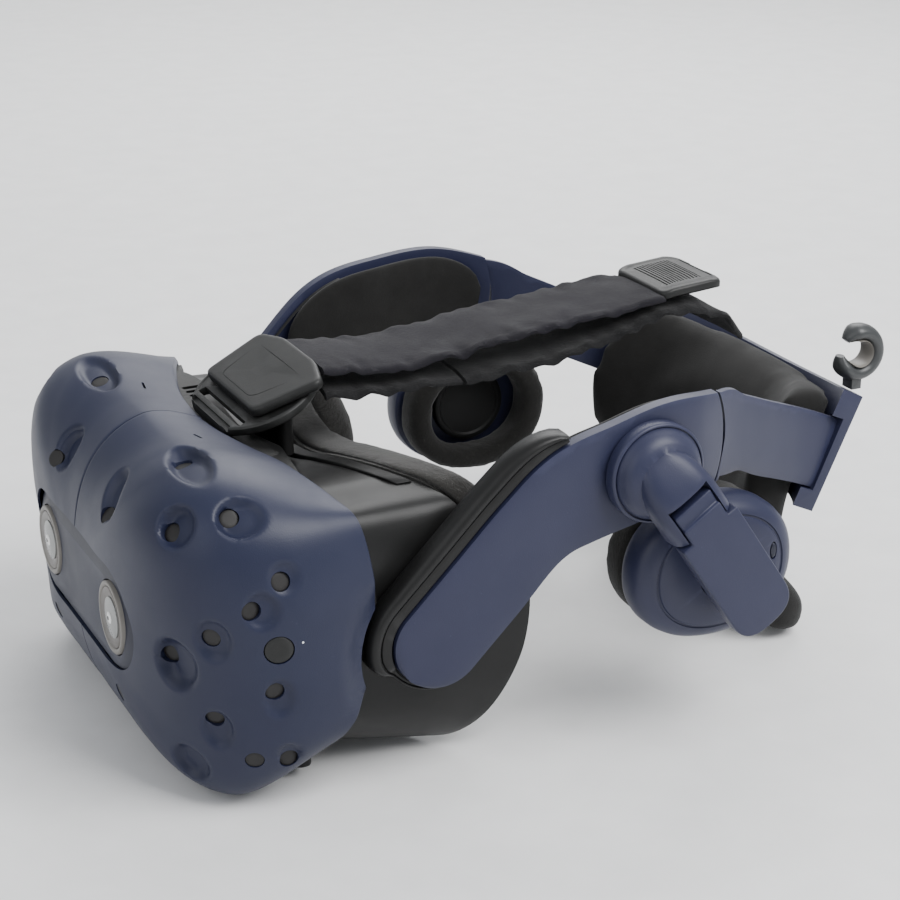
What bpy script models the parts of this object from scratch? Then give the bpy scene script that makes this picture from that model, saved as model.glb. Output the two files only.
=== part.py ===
"""Head-worn display: a two-part visor shell with tracking windows, a face frame, a rigid side-arm
halo with on-ear speakers, a geared rear cradle and a soft strap over the top of the head.

Design frame, in millimetres: X = 0 is the plane of symmetry and +X is the wearer's left, Y = 0 is
the plane of the two front cameras with +Y towards the back of the head, Z = 0 is the cameras' height.
Every mesh is scaled to metres, and the whole part hangs from one empty that puts the origin at the
middle of the footprint, on the surface that the part stands on.
"""
import math

import bmesh
import bpy
from mathutils import Matrix, Vector
from mathutils.bvhtree import BVHTree

MM = 0.001
GAP = 0.3                     # clearance between pieces that meet
FOOTPRINT_MID_Y = 141.13      # middle of the part's length, in the design frame
FLOOR_Z = -51.63              # surface that the part stands on

# Visor: (X, Z, depth of the rim, depth where the nose of the shell ends, fullness, fall at the rim)
SHELL_STATIONS = (
    (0, 54.5, 43.3, 42, 2.8, 6.5), (19, 53.5, 44.2, 42, 2.8, 4), (36, 55, 47.6, 43, 2.9, 4.3),
    (54, 56.5, 53, 46, 3.1, 4.5), (73, 52, 59.6, 54, 3.9, 3.4), (86, 41, 63.5, 60, 4.0, 0.5),
    (92, 22, 66.5, 66, 3.8, 0), (93, 3, 68, 68, 3.4, 0), (92, -14, 65, 66, 3.25, 0),
    (88, -33, 57, 54, 2.95, -2.1), (78, -48, 50, 40, 2.8, -7.3), (59, -52, 42, 34, 2.55, -7.5),
    (38, -51.5, 36, 32, 2.5, -8), (18, -50.5, 31, 30, 2.5, -9), (0, -50, 29, 30, 2.5, -10))
SHELL_TUCK = 5.0              # how far the sides draw in at the rim
SHELL_NOSE_Y = -1.2
SHELL_WALL = 2.0
SHELL_ACROSS = 17             # points from the top seam round to the bottom seam
SHELL_ALONG = 8               # points from the camera opening to the rim

# Front camera plate and cameras
PLATE_HALF_WIDTH = 51.0
PLATE_BOTTOM = -17.0
PLATE_TOP = 18.0
PLATE_FACE_Y = 1.0
PLATE_THICK = 2.4
CAMERA_X = 34.0
CAMERA_RING_R = 11.8
CAMERA_LENS_R = 9.9

# Tracking windows: azimuth and elevation in degrees, seen from AIM_CENTRE; +azimuth is the left side
AIM_CENTRE = (0, 50, 0)
SENSOR_R = 2.9
SENSOR_SPOTS = (
    (56, 47), (72, 30), (58, 27), (29, 30), (81, 17), (75, 12), (67, 6),
    (56, -1), (79, -5), (67, -12), (75, -20), (82, -21), (35, -24), (55, -33))
BUTTON_SPOT = (80, 4)
BUTTON_R = 4.4
STATUS_SPOT = (84.5, 5)

KNOB_SPOT = (-50, 50, -41)     # lens-spacing knob under the right side
KNOB_R = 6.5
KNOB_STEM_R = 2.2
RELIEF_SPOT = (64, 49.8, -45.6)   # button that frees the face frame's slide, under the left side

# Face frame, foam and the strap base on top
FACE_STATIONS = (
    (0, 76, 38), (15, 77, 39), (30, 79, 41.5), (44, 82.5, 43), (56, 87, 43), (66, 94, 40.5),
    (73, 102, 33), (77, 110, 16), (78, 112, 0), (78, 110, -16), (77, 104, -30), (74, 96.5, -41),
    (68, 88, -48), (58, 81, -50), (40, 76, -46), (20, 70, -32), (0, 67, -20))
FACE_CENTRE_Z = 6.0
FRAME_HALF_WIDTH = 78.0       # leaves room for the side arms' brackets
FOAM_DEPTH = 14.0
FOAM_WIDTH = 13.0
BROW_STEP = 4.6               # how far the frame's edge sits in from the foam's outer edge over the brow
WALL_BACK = 12.5              # how far the frame's wall runs back over the foam at the sides
STRAP_BASE_CENTRE = (0, 62, 56)
STRAP_BASE_R = 25.0
STRAP_PITCH = math.radians(22)
STEM_Y = 67.0
STEM_FOOT_Z = 37.0

# Side arms: (Y, Z, half width) along the middle line, and the outer face's X at each Y
HINGE = (0, 88, -5)
HINGE_PIN_R = 6.5
ARM_LINE = {
    1: ((87.7, -4.3, 14.5), (103, 12, 14.5), (118.5, 28.5, 14.5), (132.5, 37.8, 17), (150, 43, 17.6),
        (168, 47, 17.8), (186, 47, 15.4)),
    -1: ((87, -3.5, 17.5), (100, 15, 18.5), (115.5, 32.5, 19), (130, 43, 20), (149, 47.5, 19),
         (168, 49.5, 18), (186, 47.5, 15.9))}
BAND_LINE = ((187.4, 47, 15.2), (191, 46.8, 14.4), (197, 44.6, 13.2), (205, 42, 12), (215.5, 37, 12.3),
             (226, 32.5, 12.4), (237, 27.8, 12.5), (246, 23.8, 12.5))
ARM_PLAN = ((60, 87), (88, 89.5), (120, 92), (150, 93.5), (172, 93.5), (184, 89), (194, 82.5),
            (205, 77.5), (215, 73), (228, 67.5), (240, 64), (262, 62))
ARM_WALL = 5.0
ARM_SEAM = 0.8                # open line round a cover
ARM_DEPTH = 8.0               # from the outer face to the bracket's inner face
HINGE_CLEAR = 25.8            # radius of the bay in the visor's rear edge that each arm's end turns in
FRAME_CLEAR = 27.4            # radius of the same bay in the inner frame
BRACKET_REACH = {1: 8.8, -1: -2.0}     # how far each black bracket stands out round its cover

# On-ear speakers
PIVOT = {1: (158, 44), -1: (153, 46)}      # the right speaker sits a little further up its arm
PIVOT_R = 16.5
BOOM_DIR = Vector((0, 0.559, -0.829))
BOOM_SIDE = Vector((0, 0.829, 0.559))
BOOM_X = 108.0
BOOM_THICK = 5.6
BOOM_HALF = 11.0
PIN_ALONG = 12.0
CUP_ALONG = 48.0
CUP_FACE_X = 96.0
CUP_HALF_LONG = 30.0
CUP_HALF_HIGH = 24.5

# Rear cradle: its own tilted frame, d along the slide and n up its face
REAR_ORIGIN = Vector((0, 241.7, 27.2))
REAR_TILT = math.radians(24.9)
REAR_D = Vector((0, math.cos(REAR_TILT), -math.sin(REAR_TILT)))
REAR_N = Vector((0, math.sin(REAR_TILT), math.cos(REAR_TILT)))
REAR_HALF_WIDTH = 65.0
REAR_BOW = 20.0
REAR_THICK = 9.0
REAR_HALF_HIGH = 21.5
DIAL_R = 17.0

COLOURS = {
    "navy": ((0.045, 0.052, 0.105), 0.45, 0.0),
    "navy_dark": ((0.035, 0.04, 0.085), 0.45, 0.0),
    "black": ((0.012, 0.012, 0.013), 0.5, 0.0),
    "grey": ((0.05, 0.05, 0.052), 0.4, 0.0),
    "window": ((0.02, 0.018, 0.02), 0.25, 0.0),
    "foam": ((0.02, 0.019, 0.018), 0.95, 0.0),
    "fabric": ((0.016, 0.015, 0.022), 0.9, 0.0),
    "rubber": ((0.01, 0.01, 0.01), 0.6, 0.0),
    "metal": ((0.45, 0.45, 0.46), 0.3, 1.0),
    "lens": ((0.6, 0.62, 0.63), 0.1, 0.0),
    "board": ((0.01, 0.05, 0.025), 0.5, 0.0),
    "light": ((0.5, 0.55, 0.6), 0.3, 0.0),
}


# ---------------------------------------------------------------- scene helpers
def clear_scene():
    for item in list(bpy.data.objects):
        bpy.data.objects.remove(item, do_unlink=True)


def make_collection(name):
    collection = bpy.data.collections.new(name)
    bpy.context.scene.collection.children.link(collection)
    return collection


def make_materials():
    made = {}
    for name, (colour, roughness, metallic) in COLOURS.items():
        material = bpy.data.materials.new(name)
        material.use_nodes = True
        shader = material.node_tree.nodes["Principled BSDF"]
        shader.inputs["Base Color"].default_value = (*colour, 1.0)
        shader.inputs["Roughness"].default_value = roughness
        shader.inputs["Metallic"].default_value = metallic
        made[name] = material
    return made


class Assembly:
    """Holds the collections, the materials and one empty on each moving body's axis."""

    def __init__(self):
        clear_scene()
        self.parts = make_collection("vr_headset")
        self.cutters = make_collection("cutters")
        self.materials = make_materials()
        self.bodies = {}
        self.add_body("visor", (0, 0, 0), None)
        self.bodies["visor"][0].location = (0, -FOOTPRINT_MID_Y * MM, -FLOOR_Z * MM)

    def add_body(self, name, pivot, parent):
        empty = bpy.data.objects.new(name + "_axis", None)
        self.parts.objects.link(empty)
        base = Vector((0, 0, 0))
        if parent:
            empty.parent, base = self.bodies[parent]
        empty.location = (Vector(pivot) - base) * MM
        self.bodies[name] = (empty, Vector(pivot))

    def add(self, name, bm, material, body):
        """Turns a bmesh in design millimetres into a named object that hangs from its body."""
        empty, pivot = self.bodies[body]
        item = self._object(name, bm, pivot)
        item.data.materials.append(self.materials[material])
        item.parent = empty
        self.parts.objects.link(item)
        return item

    def cut(self, target, bm, body="visor", operation="DIFFERENCE"):
        empty, pivot = self.bodies[body]
        cutter = self._object(target.name + "_cutter", bm, pivot)
        cutter.parent = empty
        cutter.hide_render = True
        cutter.display_type = "WIRE"
        self.cutters.objects.link(cutter)
        modifier = target.modifiers.new("cut", "BOOLEAN")
        modifier.object = cutter
        modifier.operation = operation
        modifier.solver = "EXACT"

    @staticmethod
    def _object(name, bm, pivot):
        bmesh.ops.recalc_face_normals(bm, faces=bm.faces)
        bmesh.ops.transform(bm, matrix=Matrix.Scale(MM, 4) @ Matrix.Translation(-pivot), verts=bm.verts)
        mesh = bpy.data.meshes.new(name)
        bm.to_mesh(mesh)
        bm.free()
        mesh.shade_smooth()
        mesh.set_sharp_from_angle(angle=math.radians(35))
        return bpy.data.objects.new(name, mesh)


# ---------------------------------------------------------------- shape helpers
def mirrored(point):
    return Vector((-point[0], point[1], point[2]))


def lerp_table(table, x):
    """Value at x of a table of (x, value) pairs, straight between them."""
    for (x0, v0), (x1, v1) in zip(table, table[1:]):
        if x <= x1:
            return v0 + (v1 - v0) * (x - x0) / (x1 - x0)
    return table[-1][1]


def ramp(value, start, span):
    """0 before start, easing up to 1 over the span."""
    t = min(max((value - start) / span, 0.0), 1.0)
    return t * t * (3 - 2 * t)


def spline(points, t):
    """Catmull-Rom through points of any length, t from 0 to 1 over the whole list."""
    last = len(points) - 1
    place = min(max(t, 0.0), 1.0) * last
    index = min(int(place), last - 1)
    f = place - index
    ends = [points[min(max(index + k, 0), last)] for k in (-1, 0, 1, 2)]
    out = []
    for a, b, c, d in zip(*ends):
        out.append(b + 0.5 * f * (c - a + f * (2 * a - 5 * b + 4 * c - d + f * (3 * (b - c) + d - a))))
    return out


def slab(outer, inner, wrap=False):
    """Closed solid between two grids of points of the same size; wrap closes it round its rows."""
    bm = bmesh.new()
    grids = [[[bm.verts.new(p) for p in row] for row in grid] for grid in (outer, inner)]
    rows, columns = len(outer), len(outer[0])
    row_pairs = [(i, i + 1) for i in range(rows - 1)] + ([(rows - 1, 0)] if wrap else [])
    for i, k in row_pairs:
        for grid in grids:
            for j in range(columns - 1):
                bm.faces.new((grid[i][j], grid[k][j], grid[k][j + 1], grid[i][j + 1]))
        for j in (0, columns - 1):
            bm.faces.new((grids[0][i][j], grids[1][i][j], grids[1][k][j], grids[0][k][j]))
    if not wrap:
        for i in (0, rows - 1):
            for j in range(columns - 1):
                bm.faces.new((grids[0][i][j], grids[0][i][j + 1], grids[1][i][j + 1], grids[1][i][j]))
    return bm


def box(low, high):
    bm = bmesh.new()
    low, high = Vector(low), Vector(high)
    matrix = Matrix.Translation((low + high) / 2) @ Matrix.Diagonal(((high - low)[:] + (1.0,)))
    bmesh.ops.create_cube(bm, size=1.0, matrix=matrix)
    return bm


def axis_matrix(start, direction):
    return Matrix.Translation(start) @ Vector(direction).to_track_quat("Z", "Y").to_matrix().to_4x4()


def rod(start, end, radius, end_radius=None, sides=20):
    """Cylinder or cone between two points."""
    bm = bmesh.new()
    start, end = Vector(start), Vector(end)
    bmesh.ops.create_cone(
        bm, cap_ends=True, segments=sides, radius1=radius,
        radius2=radius if end_radius is None else end_radius, depth=(end - start).length,
        matrix=axis_matrix((start + end) / 2, end - start))
    return bm


def turned(centre, direction, profile, sides=24):
    """Solid turned about an axis: profile is (distance along the axis, radius) from end to end."""
    matrix = axis_matrix(centre, direction)
    bm = bmesh.new()
    loops = []
    for along, radius in profile:
        loop = []
        for k in range(sides):
            angle = 2 * math.pi * k / sides
            loop.append(bm.verts.new(matrix @ Vector((radius * math.cos(angle), radius * math.sin(angle), along))))
        loops.append(loop)
    for a, b in zip(loops, loops[1:]):
        for k in range(sides):
            n = (k + 1) % sides
            bm.faces.new((a[k], a[n], b[n], b[k]))
    bm.faces.new(loops[0])
    bm.faces.new(loops[-1])
    return bm


def tube_ring(centre, direction, inner, outer, low, high, sides=28):
    """Flat ring about an axis, from low to high along it."""
    matrix = axis_matrix(centre, direction)
    grids = []
    for radius in (outer, inner):
        rows = []
        for k in range(sides):
            angle = 2 * math.pi * k / sides
            spot = Vector((radius * math.cos(angle), radius * math.sin(angle), 0))
            rows.append([matrix @ (spot + Vector((0, 0, along))) for along in (low, high)])
        grids.append(rows)
    return slab(grids[0], grids[1], wrap=True)


def prism(outline, low, high, place):
    """Outline of 2D points, extruded from low to high; place turns (a, b, along) into a point."""
    bm = bmesh.new()
    ends = [[bm.verts.new(place(a, b, along)) for a, b in outline] for along in (low, high)]
    bm.faces.new(ends[0])
    bm.faces.new(ends[1])
    count = len(outline)
    for k in range(count):
        n = (k + 1) % count
        bm.faces.new((ends[0][k], ends[0][n], ends[1][n], ends[1][k]))
    return bm


def pill(half_length, low, high, inset=0.0, steps=8):
    """Outline with two round ends: half_length along a, low to high along b."""
    radius = (high - low) / 2 - inset
    middle = (high + low) / 2
    reach = half_length - inset - radius
    out = []
    for side in (1, -1):
        for k in range(steps + 1):
            angle = -math.pi / 2 + math.pi * k / steps
            out.append((side * (reach + radius * math.cos(angle)), middle + side * radius * math.sin(angle)))
    return out


def oval(half_a, half_b, sides=24, power=2.0):
    out = []
    for k in range(sides):
        c, s = math.cos(2 * math.pi * k / sides), math.sin(2 * math.pi * k / sides)
        out.append((half_a * math.copysign(abs(c) ** (2 / power), c),
                    half_b * math.copysign(abs(s) ** (2 / power), s)))
    return out


def joined(*meshes):
    """Puts several bmeshes into one; they stay separate shells for a Boolean to use together."""
    whole = bmesh.new()
    for bm in meshes:
        mesh = bpy.data.meshes.new("part_of_cutter")
        bm.to_mesh(mesh)
        bm.free()
        whole.from_mesh(mesh)
        bpy.data.meshes.remove(mesh)
    return whole


def flip(bm, side):
    """Mirrors a bmesh to the wearer's right when side is -1."""
    if side < 0:
        bmesh.ops.transform(bm, matrix=Matrix.Diagonal((-1, 1, 1, 1)), verts=bm.verts)
        bmesh.ops.reverse_faces(bm, faces=bm.faces)
    return bm


# ---------------------------------------------------------------- visor
def shell_point(around, along, inset=0.0, nose_start=0.06):
    """Point of the front shell: around from the top seam (0) to the bottom seam (1), along to the rim."""
    x, z, rim, depth, full, fall = spline(SHELL_STATIONS, around)
    size = 1.0 - inset / math.hypot(x, z)
    depth = depth - inset
    nose = SHELL_NOSE_Y + inset
    if rim - nose < depth:
        last = math.acos((1 - (rim - nose) / depth) ** (full / 2))
        straight = 0.0
    else:
        last = math.pi / 2
        straight = rim - nose - depth
    share = 1.0 - 0.18 * min(straight / 5.0, 1.0)
    angle = last * (nose_start + (1 - nose_start) * min(along / share, 1.0))
    spread = math.sin(angle) ** (2 / full)
    y = nose + depth * (1 - math.cos(angle) ** (2 / full))
    if along > share:
        y += straight * (along - share) / (1 - share)
    fallen = fall * max(0.0, (y - 24) / 20) ** 1.4
    tuck = SHELL_TUCK * max(0.0, (y - 38) / 30) ** 1.5 * (x / 93) ** 4
    return Vector((x * size * spread - tuck, y, z * size * spread - fallen))


def shell_grid(inset, side, across=SHELL_ACROSS, along=SHELL_ALONG, seam=GAP / 2):
    rows = []
    for i in range(across):
        row = []
        for j in range(along):
            p = shell_point(i / (across - 1), j / (along - 1), inset)
            row.append(Vector((side * max(p.x, seam), p.y, p.z)))
        rows.append(row)
    return rows


def surface_tree():
    """Ray-castable copy of both halves of the outer shell surface."""
    bm = bmesh.new()
    for side in (1, -1):
        grid = [[bm.verts.new(p) for p in row] for row in shell_grid(0, side, 40, 24, 0.0)]
        for a, b in zip(grid, grid[1:]):
            for j in range(len(a) - 1):
                bm.faces.new((a[j], a[j + 1], b[j + 1], b[j]))
    bm.normal_update()
    return BVHTree.FromBMesh(bm)


def aim(tree, spot, side=1):
    """Point on the shell and its outward direction, at an azimuth and elevation from the centre."""
    azimuth, elevation = (math.radians(angle) for angle in spot)
    ray = Vector((side * math.sin(azimuth) * math.cos(elevation), -math.cos(azimuth) * math.cos(elevation),
                  math.sin(elevation)))
    start = Vector(AIM_CENTRE)
    point, normal, _, _ = tree.ray_cast(start, ray)
    if normal.dot(ray) < 0:
        normal = -normal
    return point, normal


def plate_place(a, b, along):
    return Vector((a, along, b))


def hinge_bay(side, radius=HINGE_CLEAR):
    """Cutter for the round bay that an arm's front end turns in."""
    return rod((side * 76, HINGE[1], HINGE[2]), (side * 110, HINGE[1], HINGE[2]), radius, sides=48)


def front_shells(asm, tree):
    for side, name in ((1, "left"), (-1, "right")):
        shell = asm.add("front_shell_" + name, slab(shell_grid(0, side), shell_grid(SHELL_WALL, side)),
                        "navy", "visor")
        opening = prism(pill(PLATE_HALF_WIDTH, PLATE_BOTTOM, PLATE_TOP), -10, 24, plate_place)
        asm.cut(shell, opening)
        asm.cut(shell, hinge_bay(side))
        bores = []
        for spot in SENSOR_SPOTS:
            point, normal = aim(tree, spot, side)
            bores.append(rod(point - normal * 5, point + normal * 3, SENSOR_R + GAP, sides=10))
        asm.cut(shell, joined(*bores))
        if side > 0:
            point, normal = aim(tree, BUTTON_SPOT)
            light, outward = aim(tree, STATUS_SPOT)
            asm.cut(shell, joined(
                rod(point - normal * 5, point + normal * 3, BUTTON_R + GAP, sides=20),
                rod(light - outward * 5, light + outward * 3, 0.8 + GAP, sides=8)))
            asm.add("status_light", rod(light - outward * 4.0, light - outward * 0.1, 0.8, sides=8),
                    "light", "visor")


def sensor_boards(asm, tree):
    """Flexible board behind each shell half, with a window standing in every bore."""
    for side, name in ((1, "left"), (-1, "right")):
        def liner(inset):
            rows = []
            for i in range(12):
                around = 0.05 + 0.9 * i / 11
                reach = 0.57 + 0.17 * math.sin(math.pi * around) ** 6
                row = [shell_point(around, 0.17 + reach * j / 4, inset) for j in range(5)]
                rows.append([Vector((side * p.x, p.y, p.z)) for p in row])
            return rows
        board = asm.add("sensor_board_" + name, slab(liner(4.4), liner(5.4)), "window", "visor")
        windows = []
        for spot in SENSOR_SPOTS:
            point, normal = aim(tree, spot, side)
            windows.append(rod(point - normal * 7.5, point - normal * 0.4, SENSOR_R, sides=10))
        asm.cut(board, joined(*windows), operation="UNION")


def camera_plate(asm):
    plate = asm.add(
        "camera_plate",
        prism(pill(PLATE_HALF_WIDTH, PLATE_BOTTOM, PLATE_TOP, GAP), PLATE_FACE_Y, PLATE_FACE_Y + PLATE_THICK,
              plate_place), "navy_dark", "visor")
    bores = []
    for side, name in ((1, "left"), (-1, "right")):
        centre = (side * CAMERA_X, 0, 0)
        bores.append(rod((side * CAMERA_X, -5, 0), (side * CAMERA_X, 9, 0), CAMERA_RING_R + GAP, sides=28))
        asm.add("camera_ring_" + name,
                tube_ring(centre, (0, 1, 0), CAMERA_LENS_R + GAP, CAMERA_RING_R, -0.4, 8), "grey", "visor")
        asm.add("camera_lens_" + name,
                turned(centre, (0, 1, 0), ((0.3, 6.5), (0.8, CAMERA_LENS_R), (8, CAMERA_LENS_R)), 28),
                "lens", "visor")
    asm.cut(plate, joined(*bores))


def loop_grid(point_at, columns, count):
    """Closed loop of rows: count steps down the left side and back up the right."""
    rows = [[point_at(i / count, j) for j in range(columns)] for i in range(count + 1)]
    back = [[mirrored(p) for p in row] for row in rows[1:-1]]
    return rows + back[::-1]


def mid_frame(asm):
    """Black inner frame behind the shells; its rim shows between the shells and the face frame."""
    def wall(inset):
        def point_at(around, j):
            _, _, rim, depth, _, _ = spline(SHELL_STATIONS, around)
            edge = shell_point(around, 1.0, inset)
            inside = shell_point(around, 0.8, inset)
            top_share = min(max((0.24 - around) / 0.11, 0.0), 1.0)
            if j == 0:
                return Vector((inside.x, max(0.75 * depth + 4, rim - 11), inside.z))
            lip = 1 + 12 * top_share - 3 * ramp(around, 0.5, 0.15)
            return Vector((edge.x, rim + (-4, lip)[j - 1], edge.z))
        return loop_grid(point_at, 3, 16)
    frame = asm.add("mid_frame", slab(wall(4.2), wall(6.2), wrap=True), "black", "visor")
    slots = [box((-x - 1, 50, 40), (-x + 1, 57, 64)) for x in (27.5, 31.5, 35.5)]
    asm.cut(frame, joined(*slots))
    asm.cut(frame, joined(hinge_bay(1, FRAME_CLEAR), hinge_bay(-1, FRAME_CLEAR)))
    x, y, z = KNOB_SPOT
    lug = ((-17, -3.4), (-13, -2.3), (-13, 2.8), (4, 2.8), (4, 5.8), (-17, 5.8))
    knob_lug = prism(lug, -3, 3, lambda a, b, along: Vector((x + along, y + a, z + b)))
    asm.cut(frame, knob_lug, operation="UNION")
    asm.cut(frame, rod((x, y, z), (x, y, z + 9), KNOB_STEM_R + GAP, sides=12))


def optics(asm):
    asm.add("main_board", box((-40, 13, 18), (40, 14.6, 33)), "board", "visor")
    asm.add("proximity_sensor", box((-6, 34, 27), (6, 37, 33)), "window", "visor")
    for side, name in ((1, "left"), (-1, "right")):
        low, high = (3, 24, -29), (63, 28, 26)
        asm.add("display_" + name, flip(box(low, high), side), "grey", "visor")
        body = "lens_" + name
        centre = Vector((side * 32, 32, -1.5))
        asm.add_body(body, centre, "visor")
        asm.add("lens_barrel_" + name, tube_ring(centre, (0, 1, 0), 22.3, 25, 0, 14), "black", body)
        asm.add("eye_lens_" + name,
                turned(centre, (0, 1, 0), ((2, 15), (4, 22), (8, 22), (12, 15)), 28), "lens", body)


def visor_controls(asm, tree):
    point, normal = aim(tree, BUTTON_SPOT)
    asm.add_body("system_button", point, "visor")
    asm.add("system_button", rod(point - normal * 3.6, point + normal * 0.1, BUTTON_R, sides=20),
            "grey", "system_button")
    asm.add_body("ipd_knob", KNOB_SPOT, "visor")
    knob = turned(KNOB_SPOT, (0, 0, 1), ((-6.5, KNOB_R), (0, KNOB_R), (0.2, KNOB_STEM_R), (5, KNOB_STEM_R)), 18)
    asm.add("ipd_knob", knob, "grey", "ipd_knob")
    asm.add_body("relief_button", RELIEF_SPOT, "visor")
    spot = Vector(RELIEF_SPOT)
    asm.add("relief_button", box(spot - Vector((5, 3, 2.4)), spot + Vector((5, 3, 2.4))), "grey", "relief_button")


# ---------------------------------------------------------------- face frame
def face_point(around, inset, back=0.0):
    x, y, z = spline(FACE_STATIONS, around)
    size = 1.0 - inset / max(math.hypot(x, z - FACE_CENTRE_Z), 1.0)
    return Vector((x * size, y + back, FACE_CENTRE_Z + (z - FACE_CENTRE_Z) * size))


def face_frame(asm):
    def wall(inset):
        def point_at(around, j):
            rim = spline(SHELL_STATIONS, around)[2]
            front = shell_point(around, 1.0, 9.2 + inset)
            front.y = rim - 8
            step = BROW_STEP * (1 - ramp(around, 0.3, 0.07))
            over = WALL_BACK * ramp(around, 0.38, 0.07) * (1 - ramp(around, 0.87, 0.08))
            rear = face_point(around, inset + step, over)
            share = (0.0, 0.45, 1.0)[j]
            middle = front.lerp(rear, share)
            if j == 1 and middle.z > 0:
                middle.z = min(front.z, rear.z)
            if j == 1 and middle.z < -12:
                middle.z -= 1.5
            reach = FRAME_HALF_WIDTH - inset
            return Vector((math.copysign(min(abs(middle.x), reach), middle.x), middle.y, middle.z))
        return loop_grid(point_at, 3, 24)
    frame = asm.add("face_frame", slab(wall(0), wall(2.6), wrap=True), "black", "face_frame")
    for spot, reach in ((KNOB_SPOT, 8.0), (RELIEF_SPOT, 5.6)):
        low = (spot[0] - reach, spot[1] - 30, spot[2] - 14)
        high = (spot[0] + reach, spot[1] + reach, spot[2] + 10)
        asm.cut(frame, box(low, high), body="face_frame")


def face_foam(asm):
    def wall(inset):
        def point_at(around, j):
            tuck = ramp(around, 0.31, 0.06)
            step = BROW_STEP * (0.9, 0.3, 0.0)[j] * (1 - tuck) + 3.4 * tuck + 2 * ramp(around, 0.5, 0.12)
            if inset > 1:
                step = (0.0, 1.0, -1.5)[j]
            return face_point(around, inset + step, (GAP, FOAM_DEPTH * 0.55, FOAM_DEPTH)[j])
        return loop_grid(point_at, 3, 24)
    asm.add("face_foam", slab(wall(0), wall(FOAM_WIDTH), wrap=True), "foam", "face_frame")


def nose_flap(asm):
    outline = ((-11, 62, -14.5), (11, 62, -14.5), (9, 66.5, -5), (-9, 66.5, -5))
    front = [Vector(p) for p in outline]
    back = [p + Vector((0, 1.6, 0.6)) for p in front]
    asm.add("nose_flap", slab([[front[0], front[1]], [front[3], front[2]]],
                              [[back[0], back[1]], [back[3], back[2]]]), "rubber", "face_frame")


def strap_place(a, b, along):
    """Strap base frame: a across, b backwards up the pitch, along its face's direction."""
    centre = Vector(STRAP_BASE_CENTRE)
    back = Vector((0, math.cos(STRAP_PITCH), math.sin(STRAP_PITCH)))
    up = Vector((0, -math.sin(STRAP_PITCH), math.cos(STRAP_PITCH)))
    return centre + Vector((a, 0, 0)) + back * b + up * along


def strap_base(asm):
    centre = Vector(STRAP_BASE_CENTRE)
    radius = STRAP_BASE_R
    base = asm.add("strap_base", prism(oval(radius + 3, radius - 4, 32), -3.2, 0, strap_place), "black", "face_frame")
    slot = prism(((-19, -14), (19, -14), (19, -11), (-19, -11)), -9, 9, strap_place)
    asm.cut(base, slot)
    asm.cut(base, box((-40, 20, 20), (40, SHELL_STATIONS[0][2] + 1, 70)))
    def stem_place(a, b, along):
        y = STEM_Y + b
        under = centre.z + (y - centre.y) * math.tan(STRAP_PITCH) - 3.2 / math.cos(STRAP_PITCH) - GAP
        return Vector((a, y, under if along else STEM_FOOT_Z))
    asm.add("strap_stem", prism(oval(18, 4.5, 16), 0, 1, stem_place), "black", "face_frame")
    outline = ((-22, -8), (22, -8), (27.5, 16), (14, 20), (-14, 20), (-27.5, 16))
    asm.add("strap_buckle", prism(outline, GAP, 3.6, strap_place), "grey", "face_frame")


# ---------------------------------------------------------------- side arms
def line_frame(line, t):
    """Centre, direction and half width at t along a middle line of (Y, Z, half width)."""
    y, z, half = spline(line, t)
    y0, z0, _ = spline(line, max(t - 0.01, 0))
    y1, z1, _ = spline(line, min(t + 0.01, 1))
    direction = Vector((0, y1 - y0, z1 - z0)).normalized()
    return Vector((0, y, z)), direction, half


def outer_x(y):
    return lerp_table(ARM_PLAN, y)


def strip_grids(stations, columns, top_depth, bottom_depth, edge_drop, inset=0.0):
    """Two grids along stations of (centre, direction, half width), hung from the arm's outer face."""
    outer, inner = [], []
    for centre, direction, half in stations:
        normal = Vector((0, -direction.z, direction.y))
        top_row, low_row = [], []
        for j in range(columns):
            across = -1 + 2 * j / (columns - 1)
            p = centre + normal * across * max(half - inset, 0.5)
            x = outer_x(p.y)
            drop = edge_drop if abs(across) > 0.99 else 0.0
            top_row.append(Vector((x - top_depth - drop, p.y, p.z)))
            low_row.append(Vector((x - bottom_depth, p.y, p.z)))
        outer.append(top_row)
        inner.append(low_row)
    return outer, inner


def arm_stations(line):
    centre, direction, half = line_frame(line, 0)
    stations = []
    for share in (0.985, 0.86, 0.6, 0.3):
        back = direction * half * share
        stations.append((centre - back, direction, half * math.sqrt(1 - share * share)))
    return stations + [line_frame(line, k / 14) for k in range(15)]


def side_arm(asm, side, name):
    line = ARM_LINE[side]
    cover = slab(*strip_grids(arm_stations(line), 5, 0, ARM_WALL, 1.6))
    asm.add("arm_cover_" + name, flip(cover, side), "navy", "side_arms")
    asm.add("arm_bracket_" + name, flip(bracket_mesh(line, BRACKET_REACH[side]), side), "black", "side_arms")
    stations = [line_frame(line, 0.36 + 0.6 * k / 8) for k in range(9)]
    pad = slab(*strip_grids(stations, 4, ARM_WALL + 2 * GAP, ARM_WALL + 7, 0, 4.0))
    asm.add("temple_pad_" + name, flip(pad, side), "foam", "side_arms")
    stations = [line_frame(BAND_LINE, k / 9) for k in range(10)]
    band = slab(*strip_grids(stations, 3, 0, 3.2, 0.6))
    asm.add("rack_band_" + name, flip(band, side), "navy", "side_arms")


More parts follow.
